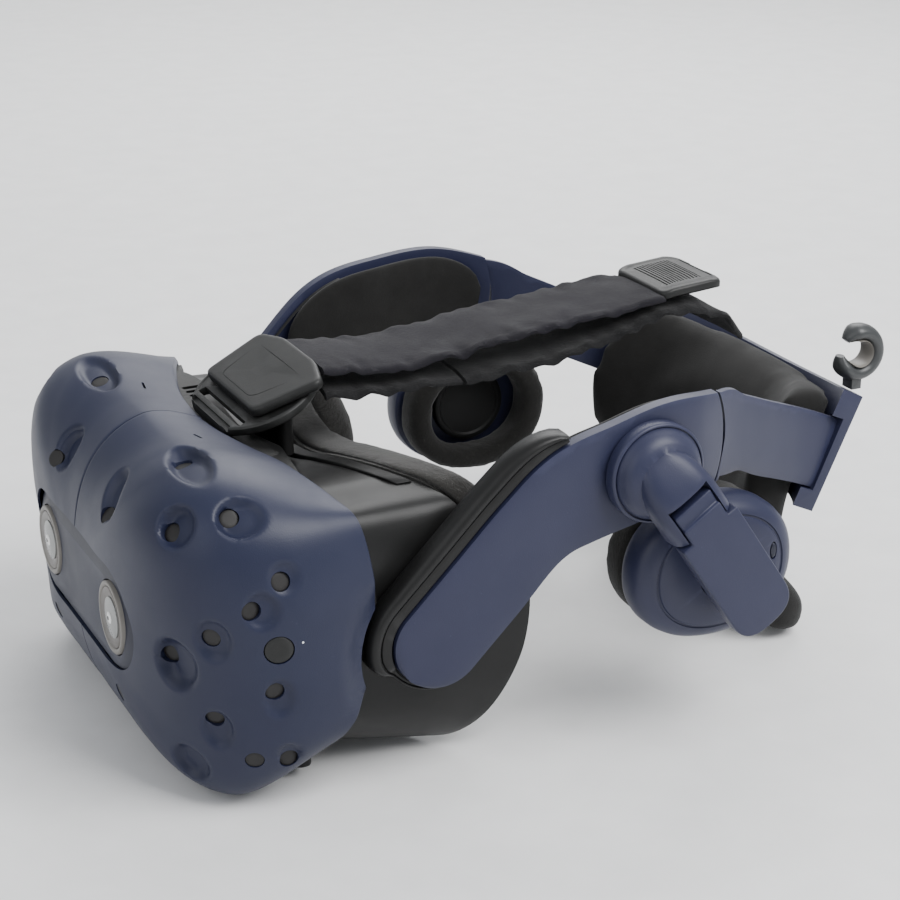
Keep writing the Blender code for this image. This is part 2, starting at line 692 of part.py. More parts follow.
def bracket_mesh(line, stand_out):
    """Black bracket that carries the hinge and stands out round the cover's lower and front edge."""
    sections = []
    centre, direction, half = line_frame(line, 0)
    for k in range(9):
        degrees = -80 + 170 * k / 8
        angle = math.radians(degrees)
        outward = Vector((0, -direction.y * math.cos(angle) - direction.z * math.sin(angle),
                          -direction.z * math.cos(angle) + direction.y * math.sin(angle)))
        rise = min(max((degrees - 5) / 35, 0.0), 1.0)
        sections.append((centre, outward, half, HINGE_PIN_R + 2, 0.3 + 0.7 * rise))
    for k in range(1, 10):
        t = 0.54 * k / 9
        spot, along, width = line_frame(line, t)
        outward = Vector((0, -along.z, along.y))
        sections.append((spot, outward, width, HINGE_PIN_R + 2 if t < 0.2 else width - 2.5, 1.0))
    bm = bmesh.new()
    loops = []
    for index, (spot, outward, width, start, share) in enumerate(sections):
        taper = min(1.0, (len(sections) - index + 1) / 4)
        reach = width + stand_out * taper * (share if stand_out > 0 else 1.0)
        edge = min(width + ARM_SEAM, reach - 1)
        floor = ARM_WALL + 2 * GAP
        top = 1.2 if stand_out > 0 else floor + 1
        profile = ((start, floor), (edge, floor), (edge, top), (reach, top), (reach, ARM_DEPTH), (start, ARM_DEPTH))
        loop = []
        for along, depth in profile:
            p = spot + outward * along
            loop.append(bm.verts.new((outer_x(p.y) - depth, p.y, p.z)))
        loops.append(loop)
    for a, b in zip(loops, loops[1:]):
        for k in range(6):
            n = (k + 1) % 6
            bm.faces.new((a[k], a[n], b[n], b[k]))
    bm.faces.new(loops[0])
    bm.faces.new(loops[-1])
    return bm


def hinge_pin(asm, side, name):
    start = Vector((side * (FRAME_HALF_WIDTH + GAP), HINGE[1], HINGE[2]))
    end = Vector((side * 83.2, HINGE[1], HINGE[2]))
    asm.add("hinge_pin_" + name, rod(start, end, HINGE_PIN_R), "metal", "face_frame")


# ---------------------------------------------------------------- on-ear speakers
def boom_spot(along, across, x, side):
    p = Vector((0, *PIVOT[side])) + BOOM_DIR * along + BOOM_SIDE * across
    return Vector((side * x, p.y, p.z))


def speaker(asm, side, name):
    swing, flip_body, tilt = "swing_" + name, "boom_" + name, "cup_" + name
    asm.add_body(swing, boom_spot(0, 0, 100, side), "side_arms")
    asm.add_body(flip_body, boom_spot(PIN_ALONG, 0, BOOM_X + 3, side), swing)
    asm.add_body(tilt, boom_spot(CUP_ALONG, 0, CUP_FACE_X - 3, side), flip_body)
    base = boom_spot(0, 0, 0, side)
    dome = turned(base, (side, 0, 0), ((94.2, 15.5), (95.2, PIVOT_R), (100, PIVOT_R - 0.5), (105, 13.5),
                                       (108, 9.5), (109.5, 5)), 28)
    hub = asm.add("pivot_hub_" + name, dome, "navy", swing)

    def place(a, b, along):
        return boom_spot(a, b, along, side)

    ears = [prism(((2, w - 1.6), (17.2, w - 1.6), (17.2, w + 1.6), (2, w + 1.6)), 99, 113.6, place)
            for w in (-9.8, 9.8)]
    pin = rod(boom_spot(PIN_ALONG, -9.4, BOOM_X + 3, side), boom_spot(PIN_ALONG, 9.4, BOOM_X + 3, side), 1.5, sides=10)
    asm.cut(hub, prism(((2.4, -7.9), (20, -7.9), (20, 7.9), (2.4, 7.9)), 103.2, 120, place), body=swing)
    asm.cut(hub, joined(*ears), body=swing, operation="UNION")
    asm.cut(hub, pin, body=swing, operation="UNION")
    outline = [(7.4, -7.4), (18.1, -7.4), (18.1, -BOOM_HALF)]
    for k in range(9):
        angle = -math.pi / 2 + math.pi * k / 8
        outline.append((51.5 + BOOM_HALF * math.cos(angle), BOOM_HALF * math.sin(angle)))
    outline += [(18.1, BOOM_HALF), (18.1, 7.4), (7.4, 7.4)]
    boom = asm.add("boom_" + name, prism(outline, BOOM_X, BOOM_X + BOOM_THICK, place), "navy", flip_body)
    bore = rod(boom_spot(PIN_ALONG, -12, BOOM_X + 3, side), boom_spot(PIN_ALONG, 12, BOOM_X + 3, side), 1.9, sides=10)
    asm.cut(boom, bore, body=flip_body)
    post = turned(boom_spot(CUP_ALONG, 0, 0, side), (side, 0, 0),
                  ((91.2, 3), (93, 5), (95, 4), (97, 3.5), (BOOM_X + 1, 5)), 14)
    asm.cut(boom, post, body=flip_body, operation="UNION")
    ear_cup(asm, side, name, tilt)


def ear_cup(asm, side, name, body):
    centre = boom_spot(CUP_ALONG, 0, 0, side)

    def place(a, b, along):
        return Vector((side * along, centre.y + a, centre.z + b))

    def rings(profile, sides=28):
        bm = bmesh.new()
        loops = [[bm.verts.new(place(a, b, x)) for a, b in oval(CUP_HALF_LONG * s, CUP_HALF_HIGH * s, sides, 2.2)]
                 for x, s in profile]
        for p, q in zip(loops, loops[1:]):
            for k in range(sides):
                n = (k + 1) % sides
                bm.faces.new((p[k], p[n], q[n], q[k]))
        bm.faces.new(loops[0])
        bm.faces.new(loops[-1])
        return bm
    shell = asm.add("cup_shell_" + name,
                    rings(((82, 0.96), (84, 1.0), (91, 0.99), (94.5, 0.9), (CUP_FACE_X, 0.72))), "navy", body)
    asm.cut(shell, rod(boom_spot(CUP_ALONG, 0, 89.5, side), boom_spot(CUP_ALONG, 0, 102, side), 8.6), body=body)
    spots = {1: ((19.5, 4), (19.5, -4)), -1: ((19.5, 0),)}[side]
    pockets = [rod(place(a, b, 90), place(a, b, 100), 2.4 + GAP, sides=12) for a, b in spots]
    asm.cut(shell, joined(*pockets), body=body)
    names = {1: ("volume_up_button", "volume_down_button"), -1: ("mute_button",)}[side]
    for button, (a, b) in zip(names, spots):
        asm.add_body(button, place(a, b, 93), body)
        asm.add(button, rod(place(a, b, 91.2), place(a, b, CUP_FACE_X - 0.2), 2.4, sides=12), "navy_dark", button)
    asm.add("ear_driver_" + name, rod(place(0, 0, 78.6), place(0, 0, 82 - GAP), 14.5, sides=24), "grey", body)
    grids = []
    for size in (0.93, 0.64):
        rows = [[place(a * (1.0 if j != 1 else (1.03 if size > 0.8 else 0.95)), b, (82 - GAP, 74, 68)[j])
                 for j in range(3)] for a, b in oval(CUP_HALF_LONG * size, CUP_HALF_HIGH * size, 24, 2.2)]
        grids.append(rows)
    cushion = slab(grids[0], grids[1], wrap=True)
    asm.add("ear_cushion_" + name, cushion, "foam", body)


# ---------------------------------------------------------------- rear cradle
def rear_place(x, d, n):
    return REAR_ORIGIN + Vector((x, 0, 0)) + REAR_D * d + REAR_N * n


def rear_bow(x):
    """How far the cradle's front face bows back at x."""
    return REAR_BOW * (1 - abs(x / REAR_HALF_WIDTH) ** 2.4)


def rear_housing(asm):
    grids = ([], [])
    for i in range(13):
        x = REAR_HALF_WIDTH * math.sin(math.pi * (i / 12 - 0.5))
        for grid, extra in zip(grids, (REAR_THICK, 0.0)):
            high = REAR_HALF_HIGH - 2 * (1 - (x / REAR_HALF_WIDTH) ** 2)
            grid.append([rear_place(x, rear_bow(x) + extra, n) for n in (-high, 0, high)])
    housing = asm.add("rear_housing", slab(*grids), "navy", "rear_unit")
    slots = []
    for side in (1, -1):
        slots.append(flip(slab(*strip_grids([line_frame(BAND_LINE, t) for t in (0.7, 0.85, 1.0)], 2, -1.2, 4.6, 0, -1)), side))
    asm.cut(housing, joined(*slots), body="rear_unit")
    pocket = rod(rear_place(0, REAR_BOW - 1, 0), rear_place(0, REAR_BOW + 6, 0), 10.5, sides=24)
    bore = rod(rear_place(0, REAR_BOW + 5, 0), rear_place(0, REAR_BOW + 12, 0), 4.4, sides=16)
    asm.cut(housing, pocket, body="rear_unit")
    asm.cut(housing, bore, body="rear_unit")
    dial = turned(rear_place(0, 0, 0), REAR_D,
                  ((REAR_BOW + 0.8, 8), (REAR_BOW + 5, 8), (REAR_BOW + 5.2, 4), (REAR_BOW + 9.6, 4),
                   (REAR_BOW + 9.8, DIAL_R), (REAR_BOW + 18, DIAL_R - 1), (REAR_BOW + 19, DIAL_R - 3)), 28)
    asm.add_body("dial", rear_place(0, REAR_BOW, 0), "rear_unit")
    asm.add("size_dial", dial, "grey", "dial")


def rear_pad(asm):
    """Cushion on the cradle's inner face, with a lower roll that reaches the surface below."""
    front, back = [], []
    for i in range(11):
        x = 56 * math.sin(math.pi * (i / 10 - 0.5))
        middle = 1 - (x / 60) ** 2
        forward = 10 * (x / 56) ** 4
        bow = rear_bow(x)
        drop = 1.0 if abs(x) > 22 else 0.8
        top = 16 + 3 * middle
        behind = ((bow - 1.3, top), (bow - 1.3, 0), (bow - 1.3, -18), (bow * 0.6 + 7, -34 * drop),
                  (bow * 0.6 + 11, -46 * drop), (bow * 0.4 + 24, -50.5 * drop),
                  (bow * 0.4 + 32.4, -55 * drop), (bow * 0.4 + 35, -63.5 * drop))
        facing = ((bow - 12 - forward, top), (bow - 16 - forward, 0), (bow - 16 - forward, -22),
                  (bow * 0.6 - 9, -38 * drop), (bow * 0.6 - 5, -50 * drop), (bow * 0.4 + 8, -60 * drop),
                  (bow * 0.4 + 18, -67 * drop), (bow * 0.4 + 30, -70 * drop))
        back.append([rear_place(x, d, n) for d, n in behind])
        front.append([rear_place(x, d, n) for d, n in facing])
    asm.add("rear_pad", slab(front, back), "foam", "rear_unit")


def cable_clip(asm):
    centre = rear_place(44, 16, REAR_HALF_HIGH + 12.5)
    sweep = [math.radians(150 - 300 * k / 16) for k in range(17)]
    grids = ([], [])
    for angle in sweep:
        spoke = REAR_D * math.cos(angle - 0.9) + REAR_N * math.sin(angle - 0.9)
        for grid, radius in zip(grids, (7.5, 4.9)):
            grid.append([centre + spoke * radius + Vector((x, 0, 0)) for x in (-4, 4)])
    clip = asm.add("cable_clip", slab(*grids), "grey", "rear_unit")
    foot = box((40.5, centre.y - 3, centre.z - 13), (47.5, centre.y + 1, centre.z - 5.6))
    asm.cut(clip, foot, body="rear_unit", operation="UNION")


# ---------------------------------------------------------------- top strap
def strap_sheet(points, half_width, thick):
    """Flat webbing along (Y, Z) points, level across."""
    top, low = [], []
    for k, (y, z) in enumerate(points):
        y0, z0 = points[max(k - 1, 0)]
        y1, z1 = points[min(k + 1, len(points) - 1)]
        up = Vector((0, -(z1 - z0), y1 - y0)).normalized() * thick / 2
        row = [Vector((x, y, z)) for x in (-half_width, 0, half_width)]
        top.append([p + up for p in row])
        low.append([p - up for p in row])
    return slab(top, low)


def top_strap(asm):
    front = ((80, 57), (96, 55), (112, 54.5), (129.5, 54.5))
    rear = ((131, 54.5), (158, 56), (182, 60), (200, 65), (220, 67), (233, 62), (240, 54))
    upper = ((86, 63), (106, 61.5), (125, 63), (143, 66), (162, 67), (183, 69), (206.5, 71))
    asm.add("strap_lower_front", strap_sheet(front, 19, 2.4), "fabric", "face_frame")
    asm.add("strap_lower_rear", strap_sheet(rear, 19, 2.4), "fabric", "rear_unit")
    asm.add("strap_upper", strap_sheet(upper, 18.5, 2.4), "fabric", "rear_unit")
    asm.add("strap_tab", strap_sheet(((207.5, 72), (219, 74.5), (232, 74)), 17, 3), "grey", "rear_unit")


def main():
    asm = Assembly()
    asm.add_body("face_frame", (0, 60, 0), "visor")
    asm.add_body("side_arms", HINGE, "face_frame")
    asm.add_body("rear_unit", REAR_ORIGIN, "side_arms")
    tree = surface_tree()
    front_shells(asm, tree)
    sensor_boards(asm, tree)
    camera_plate(asm)
    mid_frame(asm)
    optics(asm)
    visor_controls(asm, tree)
    face_frame(asm)
    face_foam(asm)
    nose_flap(asm)
    strap_base(asm)
    for side, name in ((1, "left"), (-1, "right")):
        side_arm(asm, side, name)
        hinge_pin(asm, side, name)
        speaker(asm, side, name)
    rear_housing(asm)
    rear_pad(asm)
    cable_clip(asm)
    top_strap(asm)


main()
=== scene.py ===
"""Looks of the head-worn display: fine moulded shells, foam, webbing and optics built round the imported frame.

Shapes are written in the design frame, in millimetres: X = 0 is the plane of symmetry with +X the
wearer's left, Y = 0 is the plane of the two front cameras with +Y towards the back of the head, and
Z = 0 is the cameras' height. place() turns them into the frame's metres.
"""
import math

import bmesh
import bpy
from mathutils import Matrix, Vector, noise
from mathutils.bvhtree import BVHTree


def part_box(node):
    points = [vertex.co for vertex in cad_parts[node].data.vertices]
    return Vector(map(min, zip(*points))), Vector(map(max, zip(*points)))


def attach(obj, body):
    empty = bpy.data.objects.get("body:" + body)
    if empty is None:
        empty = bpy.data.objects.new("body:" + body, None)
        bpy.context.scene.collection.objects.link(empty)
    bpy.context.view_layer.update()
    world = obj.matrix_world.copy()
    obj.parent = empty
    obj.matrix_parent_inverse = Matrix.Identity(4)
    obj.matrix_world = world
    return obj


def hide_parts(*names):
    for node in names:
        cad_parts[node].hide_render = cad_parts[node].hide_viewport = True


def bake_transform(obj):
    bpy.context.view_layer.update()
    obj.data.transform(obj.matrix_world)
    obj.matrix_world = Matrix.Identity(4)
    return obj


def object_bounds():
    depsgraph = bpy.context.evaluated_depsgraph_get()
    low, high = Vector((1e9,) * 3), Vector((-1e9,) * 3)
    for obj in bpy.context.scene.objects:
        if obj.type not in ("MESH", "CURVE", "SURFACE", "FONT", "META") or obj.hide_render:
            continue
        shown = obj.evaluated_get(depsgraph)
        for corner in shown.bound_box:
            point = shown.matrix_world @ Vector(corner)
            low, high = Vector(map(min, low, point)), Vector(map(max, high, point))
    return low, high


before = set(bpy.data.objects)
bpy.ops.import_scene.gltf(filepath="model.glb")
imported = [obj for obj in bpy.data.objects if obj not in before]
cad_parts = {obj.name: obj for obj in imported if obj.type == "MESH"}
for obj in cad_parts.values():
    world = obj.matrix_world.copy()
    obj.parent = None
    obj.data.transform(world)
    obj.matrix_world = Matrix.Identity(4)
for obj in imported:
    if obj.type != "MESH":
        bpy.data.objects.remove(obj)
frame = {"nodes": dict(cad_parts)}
cad_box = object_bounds()

MM = 0.001
PLATE_BOTTOM, PLATE_TOP, PLATE_HALF_WIDTH, PLATE_FACE_Y = -17.0, 18.0, 51.0, 1.0
plate_low, plate_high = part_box("camera_plate")
ORIGIN = Vector((0, plate_low.y - PLATE_FACE_Y * MM,
                 (plate_low.z + plate_high.z) / 2 - (PLATE_BOTTOM + PLATE_TOP) / 2 * MM))

# ---------------------------------------------------------------- design of the frame, as in the CAD
SHELL_STATIONS = (      # X, Z, depth of the rim, depth of the nose, fullness, fall at the rim
    (0, 54.5, 43.3, 42, 2.8, 6.5), (19, 53.5, 44.2, 42, 2.8, 4), (36, 55, 47.6, 43, 2.9, 4.3),
    (54, 56.5, 53, 46, 3.1, 4.5), (73, 52, 59.6, 54, 3.9, 3.4), (86, 41, 63.5, 60, 4.0, 0.5),
    (92, 22, 66.5, 66, 3.8, 0), (93, 3, 68, 68, 3.4, 0), (92, -14, 65, 66, 3.25, 0),
    (88, -33, 57, 54, 2.95, -2.1), (78, -48, 50, 40, 2.8, -7.3), (59, -52, 42, 34, 2.55, -7.5),
    (38, -51.5, 36, 32, 2.5, -8), (18, -50.5, 31, 30, 2.5, -9), (0, -50, 29, 30, 2.5, -10))
SHELL_NOSE_Y = -1.2
SHELL_TUCK = 5.0
FACE_STATIONS = (
    (0, 76, 38), (15, 77, 39), (30, 79, 41.5), (44, 82.5, 43), (56, 87, 43), (66, 94, 40.5),
    (73, 102, 33), (77, 110, 16), (78, 112, 0), (78, 110, -16), (77, 104, -30), (74, 96.5, -41),
    (68, 88, -48), (58, 81, -50), (40, 76, -46), (20, 70, -32), (0, 67, -20))
BROW_STEP, WALL_BACK = 4.6, 12.5
FACE_CENTRE_Z = 6.0
FRAME_HALF_WIDTH = 78.0
CAMERA_X, RING_R, LENS_R = 34.0, 11.8, 9.9
HINGE = Vector((0, 88, -5))
HINGE_CLEAR = 25.8
ARM_LINE = {
    1: ((87.7, -4.3, 14.5), (103, 12, 14.5), (118.5, 28.5, 14.5), (132.5, 37.8, 17), (150, 43, 17.6),
        (168, 47, 17.8), (186, 47, 15.4)),
    -1: ((87, -3.5, 17.5), (100, 15, 18.5), (115.5, 32.5, 19), (130, 43, 20), (149, 47.5, 19),
         (168, 49.5, 18), (186, 47.5, 15.9))}
BAND_LINE = ((187.4, 47, 15.2), (191, 46.8, 14.4), (197, 44.6, 13.2), (205, 42, 12), (215.5, 37, 12.3),
             (226, 32.5, 12.4), (237, 27.8, 12.5), (246, 23.8, 12.5))
ARM_PLAN = ((60, 87), (88, 89.5), (120, 92), (150, 93.5), (172, 93.5), (184, 89), (194, 82.5),
            (205, 77.5), (215, 73), (228, 67.5), (240, 64), (262, 62))
PIVOT = {1: (158, 44), -1: (153, 46)}
BOOM_DIR, BOOM_SIDE = Vector((0, 0.559, -0.829)), Vector((0, 0.829, 0.559))
CUP_ALONG = 48.0
CUP_HALF_LONG, CUP_HALF_HIGH = 30.0, 24.5
REAR_ORIGIN = Vector((0, 241.7, 27.2))
REAR_TILT = math.radians(24.9)
REAR_D = Vector((0, math.cos(REAR_TILT), -math.sin(REAR_TILT)))
REAR_N = Vector((0, math.sin(REAR_TILT), math.cos(REAR_TILT)))
REAR_HALF_WIDTH, REAR_BOW, REAR_THICK, REAR_HALF_HIGH = 65.0, 20.0, 9.0, 21.5
KNOB_SPOT, RELIEF_SPOT = Vector((-50, 50, -41)), Vector((64, 49.8, -45.6))
STRAP_CENTRE = Vector((0, 62, 56))
STRAP_PITCH = math.radians(22)
SIDES = ((1, "left"), (-1, "right"))

# Tracking windows: azimuth and elevation of each from AIM_CENTRE. Scoops that they look out of: a spot near the
# shell, half length, half height, turn in degrees, depth, and how much deeper one end is. A negative X is on the right.
AIM_CENTRE = Vector((0, 50, 0))
WINDOW_R = 2.9
WINDOWS = ((56, 47), (72, 30), (58, 27), (29, 30), (81, 17), (75, 12), (67, 6), (56, -1), (79, -5),
           (67, -12), (75, -20), (82, -21), (35, -24), (55, -33))
SCOOPS = (
    ((50.5, 22.1, 54.3), 16.5, 6.6, -13, 3.4, -0.5), ((-43.5, 22.4, 54.2), 16.5, 6.2, -12, 3.0, 0.4),
    ((79.3, 27.6, 46.0), 8.0, 7.2, 0, 3.0, -0.5), ((69.5, 11.1, 42.2), 7.4, 7.3, 0, 3.0, -0.5),
    ((27.5, 4.8, 38.5), 7.0, 9.6, 25, 3.2, 0.2), ((-20.9, 4.7, 37.2), 6.9, 9.0, -25, 3.2, -0.2),
    ((89.7, 36.6, 28.9), 5.0, 5.4, 0, 1.4, 0.0), ((89.6, 29.4, 19.4), 5.8, 6.4, 0, 1.6, 0.0),
    ((82.4, 16.4, 9.4), 6.4, 7.8, 0, 2.0, 0.0), ((70.2, 8.5, -1.9), 9.0, 9.6, 0, 3.4, -0.4),
    ((90.1, 34, -10.2), 5.0, 7.2, 0, 1.5, 0.0), ((80.2, 17.2, -21.6), 5.6, 7.4, 0, 1.9, 0.0),
    ((87.7, 37.4, -30.8), 3.8, 4.7, 0, 1.4, 0.0), ((70.2, 11.2, -36.6), 7.8, 6.6, -35, 3.0, 0.0))
ONE_SIDED = (0, 1, 4, 5)        # scoops that stay on the side of their own spot; both sides have the others
BUTTON_SPOT, BUTTON_R, LIGHT_SPOT = (80, 4), 4.4, (84.5, 5)


# ---------------------------------------------------------------- small geometry tools
def place(p):
    return ORIGIN + Vector(p) * MM


def lerp_table(table, x):
    for (x0, v0), (x1, v1) in zip(table, table[1:]):
        if x <= x1:
            return v0 + (v1 - v0) * (x - x0) / (x1 - x0)
    return table[-1][1]


def spline(points, t):
    """Catmull-Rom through points of any length, t from 0 to 1 over the whole list."""
    last = len(points) - 1
    spot = min(max(t, 0.0), 1.0) * last
    index = min(int(spot), last - 1)
    f = spot - index
    ends = [points[min(max(index + k, 0), last)] for k in (-1, 0, 1, 2)]
    out = []
    for a, b, c, d in zip(*ends):
        out.append(b + 0.5 * f * (c - a + f * (2 * a - 5 * b + 4 * c - d + f * (3 * (b - c) + d - a))))
    return out


def smooth(x):
    x = min(max(x, 0.0), 1.0)
    return x * x * (3 - 2 * x)


def bulged(value, power):
    """Power of the size of a sine or cosine, with its sign kept: under 1 squares a circle off."""
    return math.copysign(abs(value) ** power, value)


def circle(count):
    """Cosine and sine at evenly spaced angles of one turn."""
    return [(math.cos(2 * math.pi * k / count), math.sin(2 * math.pi * k / count)) for k in range(count)]


def rough(p, scale, seed=0.0):
    """Smooth noise of about -1 to 1 at a point in millimetres, with features of the given size."""
    return noise.noise(Vector(p) / scale + Vector((seed, seed * 1.7, 3.1)))


def grid_faces(bm, rows, wrap_rows=False, wrap_columns=False):
    verts = [[bm.verts.new(p) for p in row] for row in rows]
    count, width = len(rows), len(rows[0])
    for i in range(count if wrap_rows else count - 1):
        k = (i + 1) % count
        for j in range(width if wrap_columns else width - 1):
            n = (j + 1) % width
            bm.faces.new((verts[i][j], verts[k][j], verts[k][n], verts[i][n]))
    return verts


def slab(outer, inner, wrap=False):
    """Closed solid between two grids of points of the same size; wrap closes it round its rows."""
    bm = bmesh.new()
    a, b = (grid_faces(bm, grid, wrap) for grid in (outer, inner))
    rows, columns = len(outer), len(outer[0])
    pairs = [(i, i + 1) for i in range(rows - 1)] + ([(rows - 1, 0)] if wrap else [])
    for i, k in pairs:
        for j in (0, columns - 1):
            bm.faces.new((a[i][j], b[i][j], b[k][j], a[k][j]))
    if not wrap:
        for i in (0, rows - 1):
            for j in range(columns - 1):
                bm.faces.new((a[i][j], a[i][j + 1], b[i][j + 1], b[i][j]))
    return bm


def loft(loops, caps=True):
    """Closed skin through loops of equal length."""
    bm = bmesh.new()
    verts = grid_faces(bm, loops, wrap_columns=True)
    if caps:
        bm.faces.new(verts[0])
        bm.faces.new(verts[-1])
    return bm


def axis_matrix(start, direction):
    return Matrix.Translation(start) @ Vector(direction).to_track_quat("Z", "Y").to_matrix().to_4x4()


def turned(centre, direction, profile, sides=64, caps=True):
    """Solid turned about an axis: profile is (distance along the axis, radius)."""
    matrix = axis_matrix(centre, direction)
    loops = [[matrix @ Vector((r * c, r * s, along)) for c, s in circle(sides)] for along, r in profile]
    return loft(loops, caps)


def rod(start, end, radius, sides=32):
    start, end = Vector(start), Vector(end)
    return turned(start, end - start, ((0, radius), ((end - start).length, radius)), sides)


def box(low, high):
    bm = bmesh.new()
    low, high = Vector(low), Vector(high)
    matrix = Matrix.Translation((low + high) / 2) @ Matrix.Diagonal(((high - low)[:] + (1.0,)))
    bmesh.ops.create_cube(bm, size=1.0, matrix=matrix)
    return bm


def prism(outline, low, high, where):
    return loft([[where(a, b, along) for a, b in outline] for along in (low, high)])


def pill(half_length, low, high, inset=0.0, steps=24):
    """Outline of a bar with half-round ends, as long as twice half_length."""
    radius = (high - low) / 2 - inset
    middle, reach = (high + low) / 2, half_length - inset - radius
    out = []
    for side in (1, -1):
        for k in range(steps + 1):
            angle = -math.pi / 2 + math.pi * k / steps
            out.append((side * (reach + radius * abs(math.cos(angle))),
                        middle + side * radius * math.sin(angle)))
    return out


def oval(half_a, half_b, sides=64, power=2.0):
    return [(half_a * bulged(c, 2 / power), half_b * bulged(s, 2 / power)) for c, s in circle(sides)]


def rounded(corners, radius, steps=6):
    """Closed outline through 2D corners, each rounded to about the radius."""
    out = []
    count = len(corners)
    for k in range(count):
        before, corner, after = (Vector(corners[(k + d) % count]) for d in (-1, 0, 1))
        a = corner + (before - corner).normalized() * radius
        b = corner + (after - corner).normalized() * radius
        for s in range(steps + 1):
            t = s / steps
            out.append(tuple(a * (1 - t) ** 2 + corner * 2 * t * (1 - t) + b * t * t))
    return out


def joined(*meshes):
    whole = bmesh.new()
    for bm in meshes:
        bmesh.ops.recalc_face_normals(bm, faces=bm.faces)
        mesh = bpy.data.meshes.new("together")
        bm.to_mesh(mesh)
        bm.free()
        whole.from_mesh(mesh)
        bpy.data.meshes.remove(mesh)
    return whole


def flip(bm, side):
    if side < 0:
        bmesh.ops.transform(bm, matrix=Matrix.Diagonal((-1, 1, 1, 1)), verts=bm.verts)
        bmesh.ops.reverse_faces(bm, faces=bm.faces)
    return bm


# ---------------------------------------------------------------- objects
def raw_object(name, bm):
    bmesh.ops.recalc_face_normals(bm, faces=bm.faces)
    bmesh.ops.transform(bm, matrix=Matrix.Translation(ORIGIN) @ Matrix.Scale(MM, 4), verts=bm.verts)
    mesh = bpy.data.meshes.new(name)
    bm.to_mesh(mesh)
    bm.free()
    item = bpy.data.objects.new(name, mesh)
    bpy.context.scene.collection.objects.link(item)
    return item


def bake_modifiers(item):
    graph = bpy.context.evaluated_depsgraph_get()
    mesh = bpy.data.meshes.new_from_object(item.evaluated_get(graph))
    old = item.data
    item.modifiers.clear()
    item.data = mesh
    mesh.name = item.name
    bpy.data.meshes.remove(old)


def boolean(item, bm, operation="DIFFERENCE"):
    """Cuts or joins with a closed mesh; a solver that loses most of the piece is followed by the next one."""
    cutter = raw_object("cutter", bm)
    kept = item.data.copy()
    for solver in ("EXACT", "MANIFOLD", "FAST"):
        modifier = item.modifiers.new("cut", "BOOLEAN")
        modifier.object, modifier.operation, modifier.solver = cutter, operation, solver
        bake_modifiers(item)
        if len(item.data.polygons) > 0.5 * len(kept.polygons):
            break
        item.data = kept.copy()
    bpy.data.objects.remove(cutter, do_unlink=True)


def finish_piece(item, material, body, nodes=(), slot=None, bevel=0.0, angle=35, steps=3):
    """Rounds and shades a piece, gives it its material and hangs it from its body."""
    if bevel:
        modifier = item.modifiers.new("edges", "BEVEL")
        modifier.width, modifier.segments, modifier.limit_method = bevel * MM, steps, "ANGLE"
        modifier.angle_limit = math.radians(angle)
        modifier.use_clamp_overlap = True
        bake_modifiers(item)
    item.data.materials.clear()
    item.data.materials.append(material)
    item.data.shade_smooth()
    item.data.set_sharp_from_angle(angle=math.radians(50))
    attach(item, body)
    if nodes:
        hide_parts(*nodes)
    return item


def piece(name, bm, material, body, nodes=(), slot=None, **how):
    return finish_piece(raw_object(name, bm), material, body, nodes, slot, **how)


# ---------------------------------------------------------------- materials
class Nodes:
    """Short names for building a Principled material out of nodes."""

    def __init__(self, name):
        self.material = bpy.data.materials.new(name)
        self.material.use_nodes = True
        self.tree = self.material.node_tree
        self.shader = self.tree.nodes["Principled BSDF"]
        self.where = self.add("ShaderNodeTexCoord").outputs["Object"]

    def add(self, kind, **settings):
        node = self.tree.nodes.new(kind)
        for key, value in settings.items():
            setattr(node, key, value)
        return node

    def link(self, a, b):
        self.tree.links.new(a, b)

    def noise(self, scale, detail=4.0, rough=0.55):
        node = self.add("ShaderNodeTexNoise")
        node.inputs["Scale"].default_value = scale
        node.inputs["Detail"].default_value = detail
        node.inputs["Roughness"].default_value = rough
        self.link(self.where, node.inputs["Vector"])
        return node.outputs["Fac"]

    def ramp(self, value, *stops):
        node = self.add("ShaderNodeValToRGB")
        elements = node.color_ramp.elements
        while len(elements) < len(stops):
            elements.new(0.5)
        for element, (spot, colour) in zip(elements, stops):
            element.position = spot
            element.color = (*(colour if isinstance(colour, tuple) else (colour,) * 3), 1.0)
        self.link(value, node.inputs["Fac"])
        return node.outputs["Color"]

    def mix(self, share, a, b):
        node = self.add("ShaderNodeMix", data_type="RGBA")
        for value, key in ((share, 0), (a, 6), (b, 7)):
            if isinstance(value, (int, float)):
                node.inputs[key].default_value = value
            elif isinstance(value, tuple):
                node.inputs[key].default_value = (*value, 1.0)
            else:
                self.link(value, node.inputs[key])
        return node.outputs[2]

    def math(self, operation, a, b=0.0):
        node = self.add("ShaderNodeMath", operation=operation)
        for value, key in ((a, 0), (b, 1)):
            if isinstance(value, (int, float)):
                node.inputs[key].default_value = value
            else:
                self.link(value, node.inputs[key])
        return node.outputs[0]

    def bump(self, height, strength, distance, onto=None):
        node = self.add("ShaderNodeBump")
        node.inputs["Strength"].default_value = strength
        node.inputs["Distance"].default_value = distance
        self.link(height, node.inputs["Height"])
        if onto:
            self.link(onto, node.inputs["Normal"])
        return node.outputs["Normal"]

    def set(self, **values):
        for key, value in values.items():
            socket = self.shader.inputs[key.replace("_", " ")]
            if hasattr(value, "is_output"):
                self.link(value, socket)
            elif isinstance(value, tuple):
                socket.default_value = (*value, 1.0)
            else:
                socket.default_value = value


